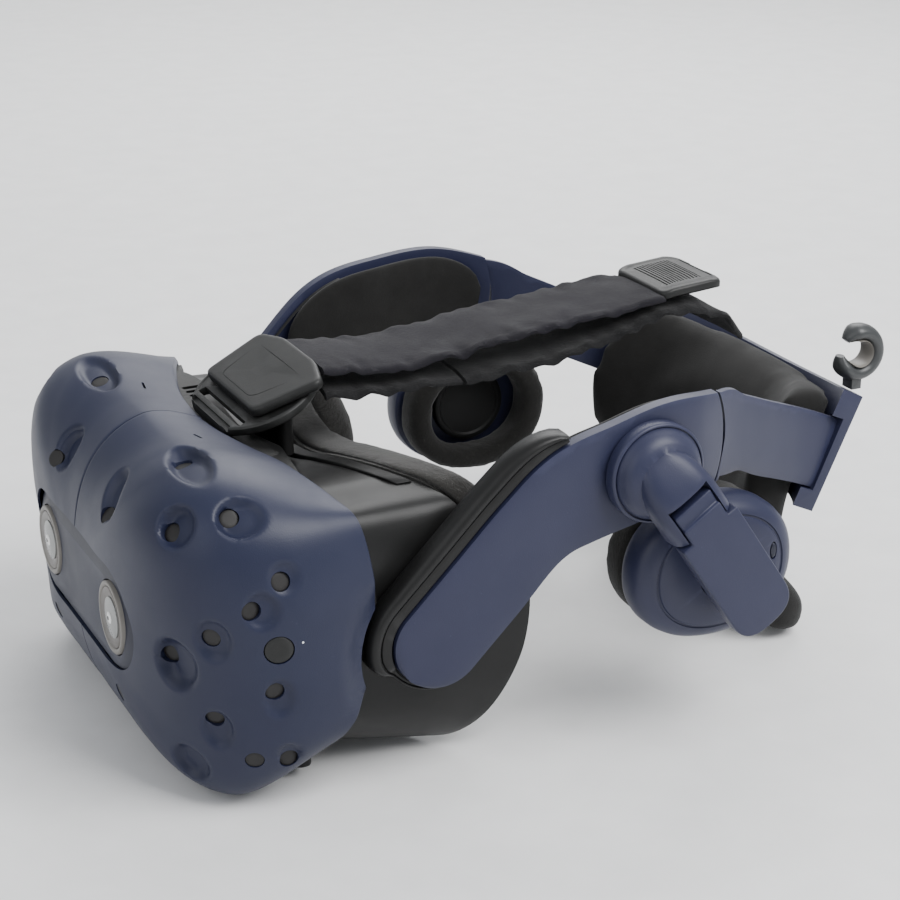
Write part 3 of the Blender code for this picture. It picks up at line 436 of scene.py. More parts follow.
def moulded(name, colour, roughness, grain, wear, spread=0.14, shine=0.45):
    """Fine-textured moulded plastic: handling haze, specks, paler worn edges and a spark-eroded grain."""
    n = Nodes(name)
    light = tuple(min(1.0, c * (1 + spread) + 0.004) for c in colour)
    dark = tuple(c * (1 - spread) for c in colour)
    haze = n.ramp(n.noise(22, 5, 0.6), (0.32, dark), (0.68, light))
    speck = n.ramp(n.noise(900, 2, 0.6), (0.70, 0.0), (0.78, 0.35))
    dusty = n.mix(speck, haze, tuple(min(1.0, c * 1.6 + 0.02) for c in colour))
    geometry = n.add("ShaderNodeNewGeometry")
    edge = n.ramp(geometry.outputs["Pointiness"], (0.52, 0.0), (0.60, 1.0))
    worn = n.math("MULTIPLY", n.math("MULTIPLY", edge, n.ramp(n.noise(140, 4), (0.35, 0.2), (0.65, 1.0))), wear)
    n.set(Base_Color=n.mix(worn, dusty, tuple(min(1.0, c * 1.9 + 0.03) for c in colour)))
    n.set(Roughness=n.ramp(n.noise(60, 6, 0.65), (0.3, roughness - 0.03), (0.7, roughness + 0.04)))
    fine = n.bump(n.noise(2600, 2, 0.5), grain, 0.00012)
    n.set(Normal=n.bump(n.noise(190, 3), grain * 0.5, 0.00012, fine), Specular_IOR_Level=shine)
    return n.material


def cloth(name, colour, pale, weave, bump, sheen, lint, fuzz):
    """Fabric or brushed foam: fine loops, mottled dye and pale lint."""
    n = Nodes(name)
    yarn = n.noise(weave, 2, 0.5)
    low, high = (tuple(c * k for c in colour) for k in (0.7, 1.35))
    mottled = n.ramp(n.noise(38, 6, 0.7), (0.3, low), (0.7, high))
    threads = n.mix(n.math("MULTIPLY", yarn, 0.35), mottled, pale)
    flecks = n.ramp(n.noise(1100, 3, 0.7), (0.62, 0.0), (0.74, 1.0))
    n.set(Base_Color=n.mix(n.math("MULTIPLY", flecks, lint), threads, tuple(min(1.0, c * 3 + 0.05) for c in pale)))
    n.set(Roughness=n.ramp(n.noise(90), (0.3, 0.82), (0.7, 0.98)), Sheen_Weight=sheen, Sheen_Roughness=0.5)
    first = n.bump(yarn, bump, 0.00025)
    n.set(Normal=n.bump(n.noise(fuzz, 5, 0.7), bump, 0.0005, first), Specular_IOR_Level=0.25)
    return n.material


def plain(name, colour, roughness, metallic=0.0, coat=0.0, bump=0.15, scale=700.0, spread=0.15):
    n = Nodes(name)
    low, high = (tuple(c * k for c in colour) for k in (1 - spread, 1 + spread))
    n.set(Base_Color=n.ramp(n.noise(45, 4), (0.3, low), (0.7, high)), Metallic=metallic, Coat_Weight=coat)
    n.set(Roughness=n.ramp(n.noise(120, 4), (0.3, max(0.02, roughness - 0.05)), (0.7, roughness + 0.06)))
    n.set(Normal=n.bump(n.noise(scale, 3), bump, 0.0001))
    return n.material


def clear(name, colour, roughness, through, index):
    n = Nodes(name)
    tint = n.ramp(n.noise(60, 3), (0.35, tuple(c * 0.94 for c in colour)), (0.65, colour))
    n.set(Base_Color=tint, Roughness=roughness, Transmission_Weight=through, IOR=index, Coat_Weight=0.3)
    return n.material


def make_materials():
    return {
        "shell": moulded("shell_navy", (0.0110, 0.0142, 0.0375), 0.42, 0.30, 0.25, spread=0.05, shine=0.32),
        "arm": moulded("arm_navy", (0.0165, 0.0190, 0.0470), 0.42, 0.30, 0.25, spread=0.05, shine=0.36),
        "plate": moulded("plate_blue_grey", (0.022, 0.025, 0.044), 0.48, 0.40, 0.1, shine=0.34),
        # The plate colour darkened by about half: painted shade, worn by the plate's sloped rim strip and by the volume
        # button caps.
        "plate_shaded_copy": moulded("plate_shaded_copy", (0.012, 0.014, 0.028), 0.46, 0.35, 0.2, shine=0.34),
        "black": moulded("matte_black", (0.0055, 0.0055, 0.0055), 0.48, 0.4, 0.25, shine=0.20),
        "satin": moulded("satin_black", (0.0055, 0.0055, 0.0055), 0.38, 0.25, 0.25, shine=0.26),
        "grey": moulded("dark_grey", (0.0085, 0.0088, 0.0085), 0.42, 0.35, 0.5, shine=0.30),
        "clip": moulded("clip_grey", (0.030, 0.032, 0.033), 0.38, 0.3, 0.4),
        "rubber": moulded("soft_rubber", (0.012, 0.012, 0.012), 0.62, 0.5, 0.2),
        "ring": plain("camera_ring", (0.16, 0.15, 0.135), 0.4),
        "bezel": plain("camera_bezel", (0.055, 0.043, 0.033), 0.35, 0.2, 0.2),
        # Near black: painted shade for the inside of the visor seen through its gaps.
        "dark": plain("painted_gap_shade", (0.004, 0.004, 0.004), 0.7),
        "window": plain("ir_window", (0.006, 0.005, 0.0048), 0.6, 0.0, 0.0, 0.02),
        "milky": plain("camera_cover", (0.20, 0.205, 0.20), 0.3, 0.0, 0.3, 0.02),
        "pupil": plain("camera_pupil", (0.80, 0.80, 0.78), 0.1, 0.0, 1.0, 0.02),
        "foam": cloth("foam_cover", (0.0190, 0.0180, 0.0165), (0.050, 0.047, 0.043), 5200.0, 1.0, 0.25, 0.50, 560.0),
        "pad": cloth("pad_cover", (0.0065, 0.0063, 0.006), (0.014, 0.0135, 0.0125), 5200.0, 0.25, 0.10, 0.05, 1300.0),
        "cushion": cloth("cushion_cover", (0.008, 0.0078, 0.0072), (0.030, 0.028, 0.025), 3800.0, 0.6, 0.14, 0.25,
                         900.0),
        "webbing": cloth("strap_knit", (0.0060, 0.0054, 0.0082), (0.0150, 0.0138, 0.0190), 5200.0, 0.4, 0.06, 0.30,
                         700.0),
        "loops": cloth("strap_loop_pile", (0.0055, 0.0055, 0.006), (0.015, 0.0145, 0.016), 3400.0, 0.8, 0.10, 0.25,
                       800.0),
        "metal": plain("turned_pin", (0.45, 0.45, 0.46), 0.3, 1.0),
        "glass": clear("eye_lens", (0.9, 0.92, 0.93), 0.03, 0.9, 1.49),
        "screen": plain("display_glass", (0.006, 0.006, 0.008), 0.08, 0.0, 1.0, 0.01),
        "board": plain("circuit_board", (0.01, 0.055, 0.025), 0.45, 0.0, 0.3, 0.4, 300.0),
        "light": plain("light_pipe", (0.75, 0.78, 0.82), 0.2, 0.0, 0.5, 0.02),
        "floor": plain("pale_floor", (0.80, 0.80, 0.80), 0.9, 0.0, 0.0, 0.02, 3.0, 0.03),
    }


# ---------------------------------------------------------------- visor
def shell_point(around, along, inset=0.0, nose_start=0.06):
    x, z, rim, depth, full, fall = spline(SHELL_STATIONS, around)
    size = 1.0 - inset / math.hypot(x, z)
    depth = depth - inset
    nose = SHELL_NOSE_Y + inset
    if rim - nose < depth:
        last = math.acos((1 - (rim - nose) / depth) ** (full / 2))
        straight = 0.0
    else:
        last = math.pi / 2
        straight = rim - nose - depth
    share = 1.0 - 0.18 * min(straight / 5.0, 1.0)
    angle = last * (nose_start + (1 - nose_start) * min(along / share, 1.0))
    spread = math.sin(angle) ** (2 / full)
    y = nose + depth * (1 - math.cos(angle) ** (2 / full))
    if along > share:
        y += straight * (along - share) / (1 - share)
    fallen = fall * max(0.0, (y - 24) / 20) ** 1.4
    tuck = SHELL_TUCK * max(0.0, (y - 38) / 30) ** 1.5 * (x / 93) ** 4
    return Vector((x * size * spread - tuck, y, z * size * spread - fallen))


def surface_tree(rows):
    bm = bmesh.new()
    grid_faces(bm, rows)
    bmesh.ops.recalc_face_normals(bm, faces=bm.faces)
    bm.normal_update()
    tree = BVHTree.FromBMesh(bm)
    bm.free()
    return tree


def aim(tree, azimuth, elevation):
    """Point on the left half of the shell and its outward direction."""
    azimuth, elevation = math.radians(azimuth), math.radians(elevation)
    ray = Vector((math.sin(azimuth) * math.cos(elevation), -math.cos(azimuth) * math.cos(elevation),
                  math.sin(elevation)))
    point, normal, _, _ = tree.ray_cast(AIM_CENTRE, ray)
    return point, normal if normal.dot(ray) > 0 else -normal


SHELL_ACROSS, SHELL_ALONG = 250, 100
SHELL_WALL = 2.0
SEAM_HALF, SEAM_SINK = 0.2, 0.5


def plain_rows(across, along, inset=0.0):
    return [[shell_point(i / (across - 1), j / (along - 1), inset) for j in range(along)] for i in range(across)]


def scoops(tree, side):
    out = []
    for index, (spot, long, high, turn, depth, lean) in enumerate(SCOOPS):
        spot = Vector(spot)
        if index in ONE_SIDED and (spot.x > 0) != (side > 0):
            continue
        flip_x = -1 if spot.x < 0 else 1
        spot.x = abs(spot.x)
        centre, normal, _, _ = tree.find_nearest(spot)
        if normal.dot(centre - AIM_CENTRE) < 0:
            normal = -normal
        first = Vector((0, 0, 1)).cross(normal).normalized()
        second = normal.cross(first)
        turn = math.radians(turn * flip_x)
        across = first * math.cos(turn) + second * math.sin(turn)
        up = second * math.cos(turn) - first * math.sin(turn)
        out.append((centre, normal, across / long, up / high, depth, lean * flip_x))
    return out


def scooped(p, dents):
    """Moves a point of the shell in where a scoop or the arm's bay presses into it."""
    moved = p.copy()
    for centre, normal, across, up, depth, lean in dents:
        away = p - centre
        u = away.dot(across)
        r2 = u ** 2 + away.dot(up) ** 2
        if r2 < 1.0 and abs(away.dot(normal)) < 9.0:
            moved -= normal * depth * smooth((1 - r2) / 0.72) * (1 + lean * u)
    reach = math.hypot(p.y - HINGE.y, p.z - HINGE.z)
    if p.x > 60:
        moved.x -= 3.0 * smooth((HINGE_CLEAR + 9 - reach) / 9)
    return moved


def facing_front(a, b, along):
    return Vector((a, along, b))


def front_shells(look):
    tree = surface_tree(plain_rows(40, 24))
    smooth_rows = plain_rows(SHELL_ACROSS, SHELL_ALONG)
    for side, name in SIDES:
        dents = scoops(tree, side)
        rows = [[scooped(p, dents) for p in row] for row in smooth_rows]
        fine = surface_tree(rows)
        spots = []
        for azimuth, elevation in WINDOWS:
            point, normal = aim(tree, azimuth, elevation)
            inner, facing = fine.ray_cast(point + normal * 6, -normal)[:2]
            mean = facing if facing.dot(normal) > 0 else -facing
            first = Vector((0, 0, 1)).cross(normal).normalized() * WINDOW_R * 0.7
            for step in (first, -first, normal.cross(first), -normal.cross(first)):
                facing = fine.ray_cast(point + step + normal * 6, -normal)[1] or mean
                mean = mean + (facing if facing.dot(normal) > 0 else -facing)
            spots.append((inner, mean.normalized()))
        if side > 0:
            button, button_normal = aim(fine, *BUTTON_SPOT)
            light, light_normal = aim(fine, *LIGHT_SPOT)
        half = []
        for i, row in enumerate(rows):
            sink = SEAM_SINK * max(0.0, 1 - min(i, SHELL_ACROSS - 1 - i) / 1.5)
            half.append([Vector((max(p.x, SEAM_HALF), p.y, p.z)) + Vector((0, sink, 0)) for p in row])
        for row in half:
            row[-1] = row[-1] + Vector((-0.4 * row[-1].x / 93, 0.0, -0.4 * row[-1].z / 55))
        inner = [[p - (p - Vector((0, p.y + 14, 0))).normalized() * SHELL_WALL for p in row] for row in half]
        shell = raw_object("visor_shell_" + name, slab(half, inner))
        cutters = [prism(pill(PLATE_HALF_WIDTH, PLATE_BOTTOM, PLATE_TOP), -12, 26, facing_front),
                   rod((70, HINGE.y, HINGE.z), (110, HINGE.y, HINGE.z), HINGE_CLEAR, 96)]
        windows = []
        for point, normal in spots:
            cutters.append(rod(point - normal * 6, point + normal * 4, WINDOW_R + 0.12, 30))
            windows.append(turned(point, normal, ((-4.0, WINDOW_R), (-0.42, WINDOW_R), (-0.3, WINDOW_R - 0.2),
                                                  (-0.26, WINDOW_R * 0.6), (-0.25, 0.5)), 28))
        slit = Vector((26.6, 33.4, 52.4))
        cutters.append(loft([[slit + Vector((a, b + 0.14 * a, c)) for a, b in pill(2.7, -0.42, 0.42, steps=4)]
                             for c in (-4, 4)]))
        if side > 0:
            cutters.append(rod(button - button_normal * 7, button + button_normal * 4, BUTTON_R + 0.28, 48))
            cutters.append(rod(light - light_normal * 5, light + light_normal * 3, 0.45, 16))
        for cutter in cutters[:2] + [joined(*cutters[2:])]:
            boolean(shell, cutter)
        if side < 0:
            shell.data.transform(Matrix.Diagonal((-1, 1, 1, 1)))
            shell.data.flip_normals()
        finish_piece(shell, look["shell"], "visor", ["front_shell_" + name], "navy")
        piece("tracking_windows_" + name, flip(joined(*windows), side), look["window"], "visor",
              ["sensor_board_" + name], "window")
    piece("system_button_cap",
          turned(button, button_normal, ((-3.6, BUTTON_R), (-0.35, BUTTON_R), (-0.08, BUTTON_R - 0.3), (-0.02, 2.0),
                                         (-0.1, 0.6)), 48),
          look["grey"], "system_button", ["system_button"], "grey")
    piece("status_light_pipe", turned(light, light_normal, ((-4, 0.36), (0.0, 0.36), (0.1, 0.2)), 16),
          look["light"], "visor", ["status_light"], "light")
    piece("visor_shade_sheet", lining(rows), look["dark"], "visor", slot="black")


def lining(rows):
    """Near-black sheet inside both shells, painted shade: it stands in for the shaded inside, so that no gap shows
    through.
    """
    bm = bmesh.new()
    thin = [row[6::6] for row in rows[4:-4:6]]
    for side in (1, -1):
        outer = [[Vector((side * max(0.4, p.x * 0.93), p.y + 3.5, p.z * 0.91)) for p in row[:-2]] for row in thin]
        grid_faces(bm, outer)
    return bm


def camera_plate(look):
    outline = pill(PLATE_HALF_WIDTH, PLATE_BOTTOM, PLATE_TOP, 0.16, 32)
    flat = pill(PLATE_HALF_WIDTH - 4.6, PLATE_BOTTOM, PLATE_TOP - 5.6, 0.9, 32)

    def bow(a, b):
        return PLATE_FACE_Y + 0.9 * max(0.0, abs(a) - 38) / 13 + 0.5 * max(0.0, b) / PLATE_TOP
    loops = [[facing_front(a, b, PLATE_FACE_Y + 3.2) for a, b in outline],
             [facing_front(a, b, bow(a, b) + 0.5) for a, b in outline],
             [facing_front(a * 0.997, b * 0.99, bow(a, b) + 0.15) for a, b in outline],
             [facing_front(a, b, PLATE_FACE_Y - 0.55) for a, b in flat]]
    plate = raw_object("front_plate", loft(loops))
    boolean(plate, joined(*(rod((side * CAMERA_X, -5, 0), (side * CAMERA_X, 9, 0), RING_R + 0.45, 72)
                            for side, _ in SIDES)))
    finish_piece(plate, look["plate_shaded_copy"], "visor", ["camera_plate"], "navy_dark", bevel=0.25, angle=30)
    # Faces that face the front take the lighter plate colour; all other faces keep the darker copy, painted shade on
    # the sloped rim strip.
    plate.data.materials.append(look["plate"])
    for face in plate.data.polygons:
        if face.normal.y < -0.985:
            face.material_index = 1
    for side, name in SIDES:
        centre = (side * CAMERA_X, 0, 0)
        back = (0, -1, 0)
        piece("camera_ring_trim_" + name,
              turned(centre, back, ((-6, RING_R), (0.1, RING_R), (0.42, RING_R - 0.35), (0.42, RING_R - 1.3),
                                    (0.05, LENS_R + 0.15), (-6, LENS_R + 0.15)), 96, caps=False),
              look["ring"], "visor", ["camera_ring_" + name], "grey")
        cover = turned(centre, back, ((-6, LENS_R), (0.1, LENS_R), (0.3, LENS_R - 0.3), (-0.25, LENS_R - 3.0)), 96)
        piece("camera_bezel_" + name, cover, look["bezel"], "visor", ["camera_lens_" + name], "lens")
        piece("camera_cover_" + name,
              turned(centre, back, ((-0.5, LENS_R - 3.2), (0.1, LENS_R - 3.3), (0.45, LENS_R - 5), (0.6, 2.4),
                                    (0.72, 0.4)), 96), look["milky"], "visor", slot="lens")
        piece("camera_pupil_" + name,
              turned(centre, back, ((0.6, 2.0), (0.9, 1.8), (1.02, 1.2), (1.04, 0.9)), 48), look["pupil"], "visor",
              slot="lens")
        piece("camera_iris_" + name, turned(centre, back, ((0.95, 0.75), (1.1, 0.7), (1.14, 0.3)), 32),
              look["window"], "visor", slot="window")


def loop_rows(point_at, columns, count):
    rows = [[point_at(i / count, j) for j in range(columns)] for i in range(count + 1)]
    back = [[Vector((-p.x, p.y, p.z)) for p in row] for row in rows[1:-1]]
    return rows + back[::-1]


def mid_frame(look):
    def wall(inset):
        def point_at(around, j):
            _, _, rim, depth, _, _ = spline(SHELL_STATIONS, around)
            edge = shell_point(around, 1.0, inset)
            inside = shell_point(around, 0.8, inset)
            top_share = min(max((0.24 - around) / 0.11, 0.0), 1.0)
            lip = 1 + 12 * top_share - 3 * smooth((around - 0.5) / 0.15)
            if j == 0:
                return Vector((inside.x, max(0.75 * depth + 4, rim - 11), inside.z))
            return Vector((edge.x, rim + (-4, lip)[j - 1], edge.z))
        return loop_rows(point_at, 3, 64)
    frame_piece = raw_object("inner_frame", slab(wall(4.2), wall(6.2), wrap=True))
    bays = [rod((side * 70, HINGE.y, HINGE.z), (side * 110, HINGE.y, HINGE.z), HINGE_CLEAR, 96)
            for side, _ in SIDES]
    vent = rounded(((-1.1, -3.7), (1.1, -3.7), (1.1, 3.7), (-1.1, 3.7)), 1, 4)
    vents = [loft([[Vector((-x + a, 53.4 + b, c)) for a, b in vent] for c in (38, 62)]) for x in (27.5, 31.5, 35.5)]
    boolean(frame_piece, joined(*bays, *vents))
    finish_piece(frame_piece, look["black"], "visor", ["mid_frame"], "black", bevel=0.4)
    cover = loft([[Vector((a, b, c)) for a, b in rounded(((14, 47), (38, 50), (37, 57.5), (14, 55)), 2.5)]
                  for c in (43.0, 46.6)])
    piece("cable_cover", cover, look["black"], "visor", slot="black", bevel=1.0)


def optics(look):
    nodes = frame["nodes"]
    for name, kind in (("main_board", "board"), ("proximity_sensor", "window"), ("display_left", "screen"),
                       ("display_right", "screen"), ("hinge_pin_left", "metal"), ("hinge_pin_right", "metal")):
        give(nodes[name], look[kind])
    for side, name in SIDES:
        centre = Vector((side * 32, 32, -1.5))
        barrel = turned(centre, (0, 1, 0), ((0, 22.4), (0, 25), (12.8, 25), (14, 24.2), (14, 23.2), (8.6, 22.4)), 96,
                        caps=False)
        piece("lens_tube_" + name, barrel, look["rubber"], "lens_" + name, ["lens_barrel_" + name], "black")
        rings = [(2.2, 14), (4.0, 22.0)]
        for k in range(18):
            r = 21.0 - k * 1.12
            rings += [(8.9 - 0.0042 * (21 - r) ** 2 + 3.0 * (1 - (r / 21) ** 2), r + 0.55),
                      (8.6 - 0.0042 * (21 - r) ** 2 + 3.0 * (1 - (r / 21) ** 2), r)]
        lens = turned(centre, (0, 1, 0), rings, 96)
        piece("fresnel_lens_" + name, lens, look["glass"], "lens_" + name, ["eye_lens_" + name], "lens")
    knob_low, knob_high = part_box("ipd_knob")
    centre = Vector(((knob_low.x + knob_high.x) / 2, (knob_low.y + knob_high.y) / 2, knob_low.z))
    centre = (centre - ORIGIN) / MM
    knob = []
    for along, r in ((0, 5.6), (0.3, 6.1), (1.0, 6.4), (5.6, 6.4), (6.3, 6.1), (6.6, 5.4), (6.7, 2.2), (11.4, 2.2)):
        teeth = [r - 0.22 * (k % 2) * (r > 6) for k in range(72)]
        knob.append([centre + Vector((tooth * math.cos(k * math.pi / 36), tooth * math.sin(k * math.pi / 36), along))
                     for k, tooth in enumerate(teeth)])
    piece("lens_spacing_knob", loft(knob), look["grey"], "ipd_knob", ["ipd_knob"], "grey")
    low, high = ((corner - ORIGIN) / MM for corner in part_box("relief_button"))
    middle, half = (low + high) / 2, (high - low) / 2
    button = loft([[Vector((middle.x + a * s, middle.y + b * s, z)) for a, b in oval(half.x, half.y, 40, 3.2)]
                   for z, s in ((low.z, 0.8), (low.z + 0.5, 0.95), (low.z + 1.2, 1.0), (high.z, 1.0))])
    piece("relief_button_cap", button, look["black"], "relief_button", ["relief_button"], "grey")


def give(item, material):
    for index in range(max(1, len(item.material_slots))):
        if item.material_slots:
            item.material_slots[index].material = material
        else:
            item.data.materials.append(material)


# ---------------------------------------------------------------- soft pieces
def ring_body(sections):
    """Closed tube of closed sections."""
    bm = bmesh.new()
    grid_faces(bm, sections, wrap_rows=True, wrap_columns=True)
    return bm


def inflate(item, voxel, cap):
    """Cloth pressure swells a padded form, no further than cap millimetres at any point."""
    modifier = item.modifiers.new("even", "REMESH")
    modifier.mode, modifier.voxel_size = "VOXEL", voxel * MM
    bake_modifiers(item)
    rest = [v.co.copy() for v in item.data.vertices]
    cloth_modifier = item.modifiers.new("cover", "CLOTH")
    settings = cloth_modifier.settings
    settings.quality = 5
    settings.mass = 0.3
    settings.tension_stiffness = settings.compression_stiffness = 15
    settings.bending_stiffness = 2.0
    settings.use_pressure = True
    settings.uniform_pressure_force = 4.0
    settings.effector_weights.gravity = 0.0
    cloth_modifier.collision_settings.use_collision = False
    scene = bpy.context.scene
    for number in range(1, 21):
        scene.frame_set(number)
    graph = bpy.context.evaluated_depsgraph_get()
    swollen = [v.co.copy() for v in item.evaluated_get(graph).data.vertices]
    item.modifiers.clear()
    scene.frame_set(1)
    for vertex, start, end in zip(item.data.vertices, rest, swollen):
        move = end - start
        vertex.co = start + move * min(1.0, cap * MM / max(move.length, 1e-9))
    modifier = item.modifiers.new("relax", "SMOOTH")
    modifier.factor, modifier.iterations = 0.5, 2
    modifier = item.modifiers.new("round", "SUBSURF")
    modifier.levels = modifier.render_levels = 1
    bake_modifiers(item)
    item.data.shade_smooth()


def face_point(around, inset, back=0.0):
    x, y, z = spline(FACE_STATIONS, around)
    size = 1.0 - inset / max(math.hypot(x, z - FACE_CENTRE_Z), 1.0)
    return Vector((x * size, y + back, FACE_CENTRE_Z + (z - FACE_CENTRE_Z) * size))


def face_frame(look):
    def wall(inset):
        def point_at(around, j):
            rim = spline(SHELL_STATIONS, around)[2]
            front = shell_point(around, 1.0, 9.2 + inset)
            front.y = rim - 8
            step = BROW_STEP * (1 - smooth((around - 0.3) / 0.07))
            over = WALL_BACK * smooth((around - 0.38) / 0.07) * (1 - smooth((around - 0.87) / 0.08))
            rear = face_point(around, inset + step, over)
            middle = front.lerp(rear, 0.45)
            if middle.z > 0:
                middle.z = min(front.z, rear.z)
            if middle.z < -12:
                middle.z -= 1.5
            p = Vector(spline([front, middle, rear], j / 12))
            reach = FRAME_HALF_WIDTH - inset
            return Vector((math.copysign(min(abs(p.x), reach), p.x), p.y, p.z))
        return loop_rows(point_at, 13, 96)
    gasket = raw_object("gasket", slab(wall(0), wall(2.6), wrap=True))
    for spot, reach in ((KNOB_SPOT, 8.0), (RELIEF_SPOT, 5.6)):
        boolean(gasket, box(spot - Vector((reach, 30, 14)), spot + Vector((reach, reach, 10))))
    finish_piece(gasket, look["satin"], "face_frame", ["face_frame"], "black", bevel=0.7)

    def ledge_at(around, j):
        fade = 1 - smooth((around - 0.27) / 0.06)
        out, back = ((5.0, -7.0), (3.2 + 1.6 * (1 - fade), -6.2), (3.0 + 1.8 * (1 - fade), -1.4), (4.8, -0.6))[j]
        return face_point(around, out, back)
    ledge_rows = [[ledge_at(0.3 * i / 60, j) for j in range(4)] for i in range(61)]
    under = [[face_point(0.3 * i / 60, 6.6, (-7.0, -5.6, -1.8, -0.6)[j]) for j in range(4)] for i in range(61)]
    halves = [flip(slab(ledge_rows, under), side) for side, _ in SIDES]
    piece("gasket_ledge", joined(*halves), look["black"], "face_frame", slot="black", bevel=0.35)

    rows = []
    count, around_section = 150, 44
    for i in range(count):
        share = i / (count / 2)
        around, side = (share, 1) if share <= 1 else (2 - share, -1)
        row = []
        for k in range(around_section):
            angle = 2 * math.pi * k / around_section
            c, s = math.cos(angle), math.sin(angle)
            wide, deep = 6.6 * bulged(c, 0.62), 6.8 * bulged(s, 0.66)
            seam = 0.8 * math.exp(-((angle - 5.45) / 0.09) ** 2)
            tuck = smooth((around - 0.31) / 0.06) * 3.4 + 2 * smooth((around - 0.5) / 0.12)
            lean = 0.62 * BROW_STEP * (1 - smooth((around - 0.31) / 0.06)) * (0.5 - 0.5 * s) * (c > 0)
            shift = 6.6 + min(tuck, 4.2) * (1.0 if c > 0 else 0.45) + lean - 0.5 * (c > 0)
            p = face_point(around, shift - wide * (1 - seam / 9), 7.3 + deep * (1 - seam / 7))
            p.x *= side
            lump = 0.4 * rough(p, 14, 2.0) + 0.3 * rough(p, 3.4, 5.0)
            centre = face_point(around, shift, 7.3)
            centre.x *= side
            row.append(p + (p - centre).normalized() * lump)
        rows.append(row)
    foam = piece("face_cushion", ring_body(rows), look["foam"], "face_frame", ["face_foam"], "foam")
    flap = slab(*[[[Vector((a * w, 62.4 + 3.9 * t + 1.6 * layer, -14.2 + 9.4 * t + 0.6 * layer - 2.6 * abs(a) ** 3 * t))
                    for a in (k / 8 - 1 for k in range(17))]
                   for t, w in ((s / 6, 10.6 - 2.2 * (s / 6) ** 2) for s in range(7))] for layer in (0, 1)])
    piece("nose_rest", flap, look["rubber"], "face_frame", ["nose_flap"], "rubber", bevel=0.4)


def strap_place(a, b, along):
    back = Vector((0, math.cos(STRAP_PITCH), math.sin(STRAP_PITCH)))
    up = Vector((0, -math.sin(STRAP_PITCH), math.cos(STRAP_PITCH)))
    return STRAP_CENTRE + Vector((a, 0, 0)) + back * b + up * along


def strap_anchor(look):
    base = loft([[strap_place(a * s, b * s, n) for a, b in oval(28, 21, 96)]
                 for n, s in ((-3.2, 0.985), (-2.6, 1.0), (-0.7, 1.0), (-0.25, 0.985), (-0.1, 0.965), (-0.1, 0.945),
                              (-0.45, 0.935), (-0.45, 0.3))])
    base = raw_object("strap_mount", base)
    cuts = [prism(rounded(((-19, -13.4), (19, -13.4), (19, -10.6), (-19, -10.6)), 0.8, 3), -9, 9, strap_place),
            prism(rounded(((-17, -17.2), (17, -17.2), (17, -15.2), (-17, -15.2)), 0.8, 3), -1.4, 9, strap_place),
            prism(rounded(((14, -9), (26.5, -4), (26.5, 8), (16, 14)), 3, 5), -1.9, 9,
                  lambda a, b, c: strap_place(-a, b, c)),
            box((-40, 20, 20), (40, 46, 70))]
    boolean(base, joined(*cuts))
    finish_piece(base, look["grey"], "face_frame", ["strap_base"], "black", bevel=0.25)

    def under(y):
        return STRAP_CENTRE.z + (y - STRAP_CENTRE.y) * math.tan(STRAP_PITCH) - 3.2 / math.cos(STRAP_PITCH) - 0.3
    stem = loft([[Vector((a * s, 67 + b * s, 37 + (under(67 + b * s) - 37) * t)) for a, b in oval(18, 4.5, 48, 2.6)]
                 for t, s in ((0, 1.0), (0.4, 0.96), (1, 1.0))])
    piece("strap_post", stem, look["black"], "face_frame", ["strap_stem"], "black", bevel=0.5)
    corners = ((-22, -8), (22, -8), (27.3, 15.6), (14, 19.6), (-14, 19.6), (-27.3, 15.6))
    edge = rounded(corners, 3.2, 7)
    loops = []
    for n, s in ((0.35, 0.985), (0.7, 1.0), (2.7, 1.0), (3.3, 0.985), (3.55, 0.955), (3.6, 0.9), (3.6, 0.5),
                 (3.6, 0.2)):
        loops.append([strap_place(a * s, 5 + (b - 5) * s, n + 0.35 * (1 - (a / 27) ** 2) * (n > 3)) for a, b in edge])
    buckle = raw_object("front_buckle", loft(loops))
    line = rounded(((-13.5, -5.0), (13.5, -5.0), (19, 12.2), (-19, 12.2)), 3.5, 6)
    groove = slab(*[[[strap_place(a * s, 4 + (b - 4) * s, n) for n in (3.62, 8)] for a, b in line]
                    for s in (1.0, 0.975)], wrap=True)
    boolean(buckle, groove)
    finish_piece(buckle, look["grey"], "face_frame", ["strap_buckle"], "grey")


def webbing(points, half_width, thick, wave, edge_wave, seed, part=(0, 1), columns=25, per=14):
    """Strap along (Y, Z) points: a gentle ripple across it, a wavier edge, and thick stitched borders."""
    top, low = [], []
    count = int((len(points) - 1) * per * (part[1] - part[0])) + 1
    for i in range(count):
        t = part[0] + (part[1] - part[0]) * i / (count - 1)
        y, z = spline(points, t)
        y0, z0 = spline(points, max(t - 0.01, 0))
        y1, z1 = spline(points, min(t + 0.01, 1))
        up = Vector((0, -(z1 - z0), y1 - y0)).normalized()
        upper_row, lower_row = [], []
        for j in range(columns):
            a = 2 * j / (columns - 1) - 1
            p = Vector((a * half_width, y, z))
            ripple = wave * rough((a * 14, y, seed), 17, seed)
            ripple += edge_wave * (abs(a) ** 3 * rough((a * 9, y, seed + 9), 5.2, seed + 4) - 0.5 * a ** 4)
            p += up * ripple
            p.x += (0.5 * rough((y, a * 3, seed), 6, seed)) * abs(a)
            body = thick * (0.5 if abs(a) > 0.9 and abs(a) < 0.985 else 0.42 if abs(a) < 0.99 else 0.2)
            upper_row.append(p + up * body)
            lower_row.append(p - up * body)
        top.append(upper_row)
        low.append(lower_row)
    return slab(top, low)


def path_length(points):
    return sum((Vector(b) - Vector(a)).length for a, b in zip(points, points[1:]))


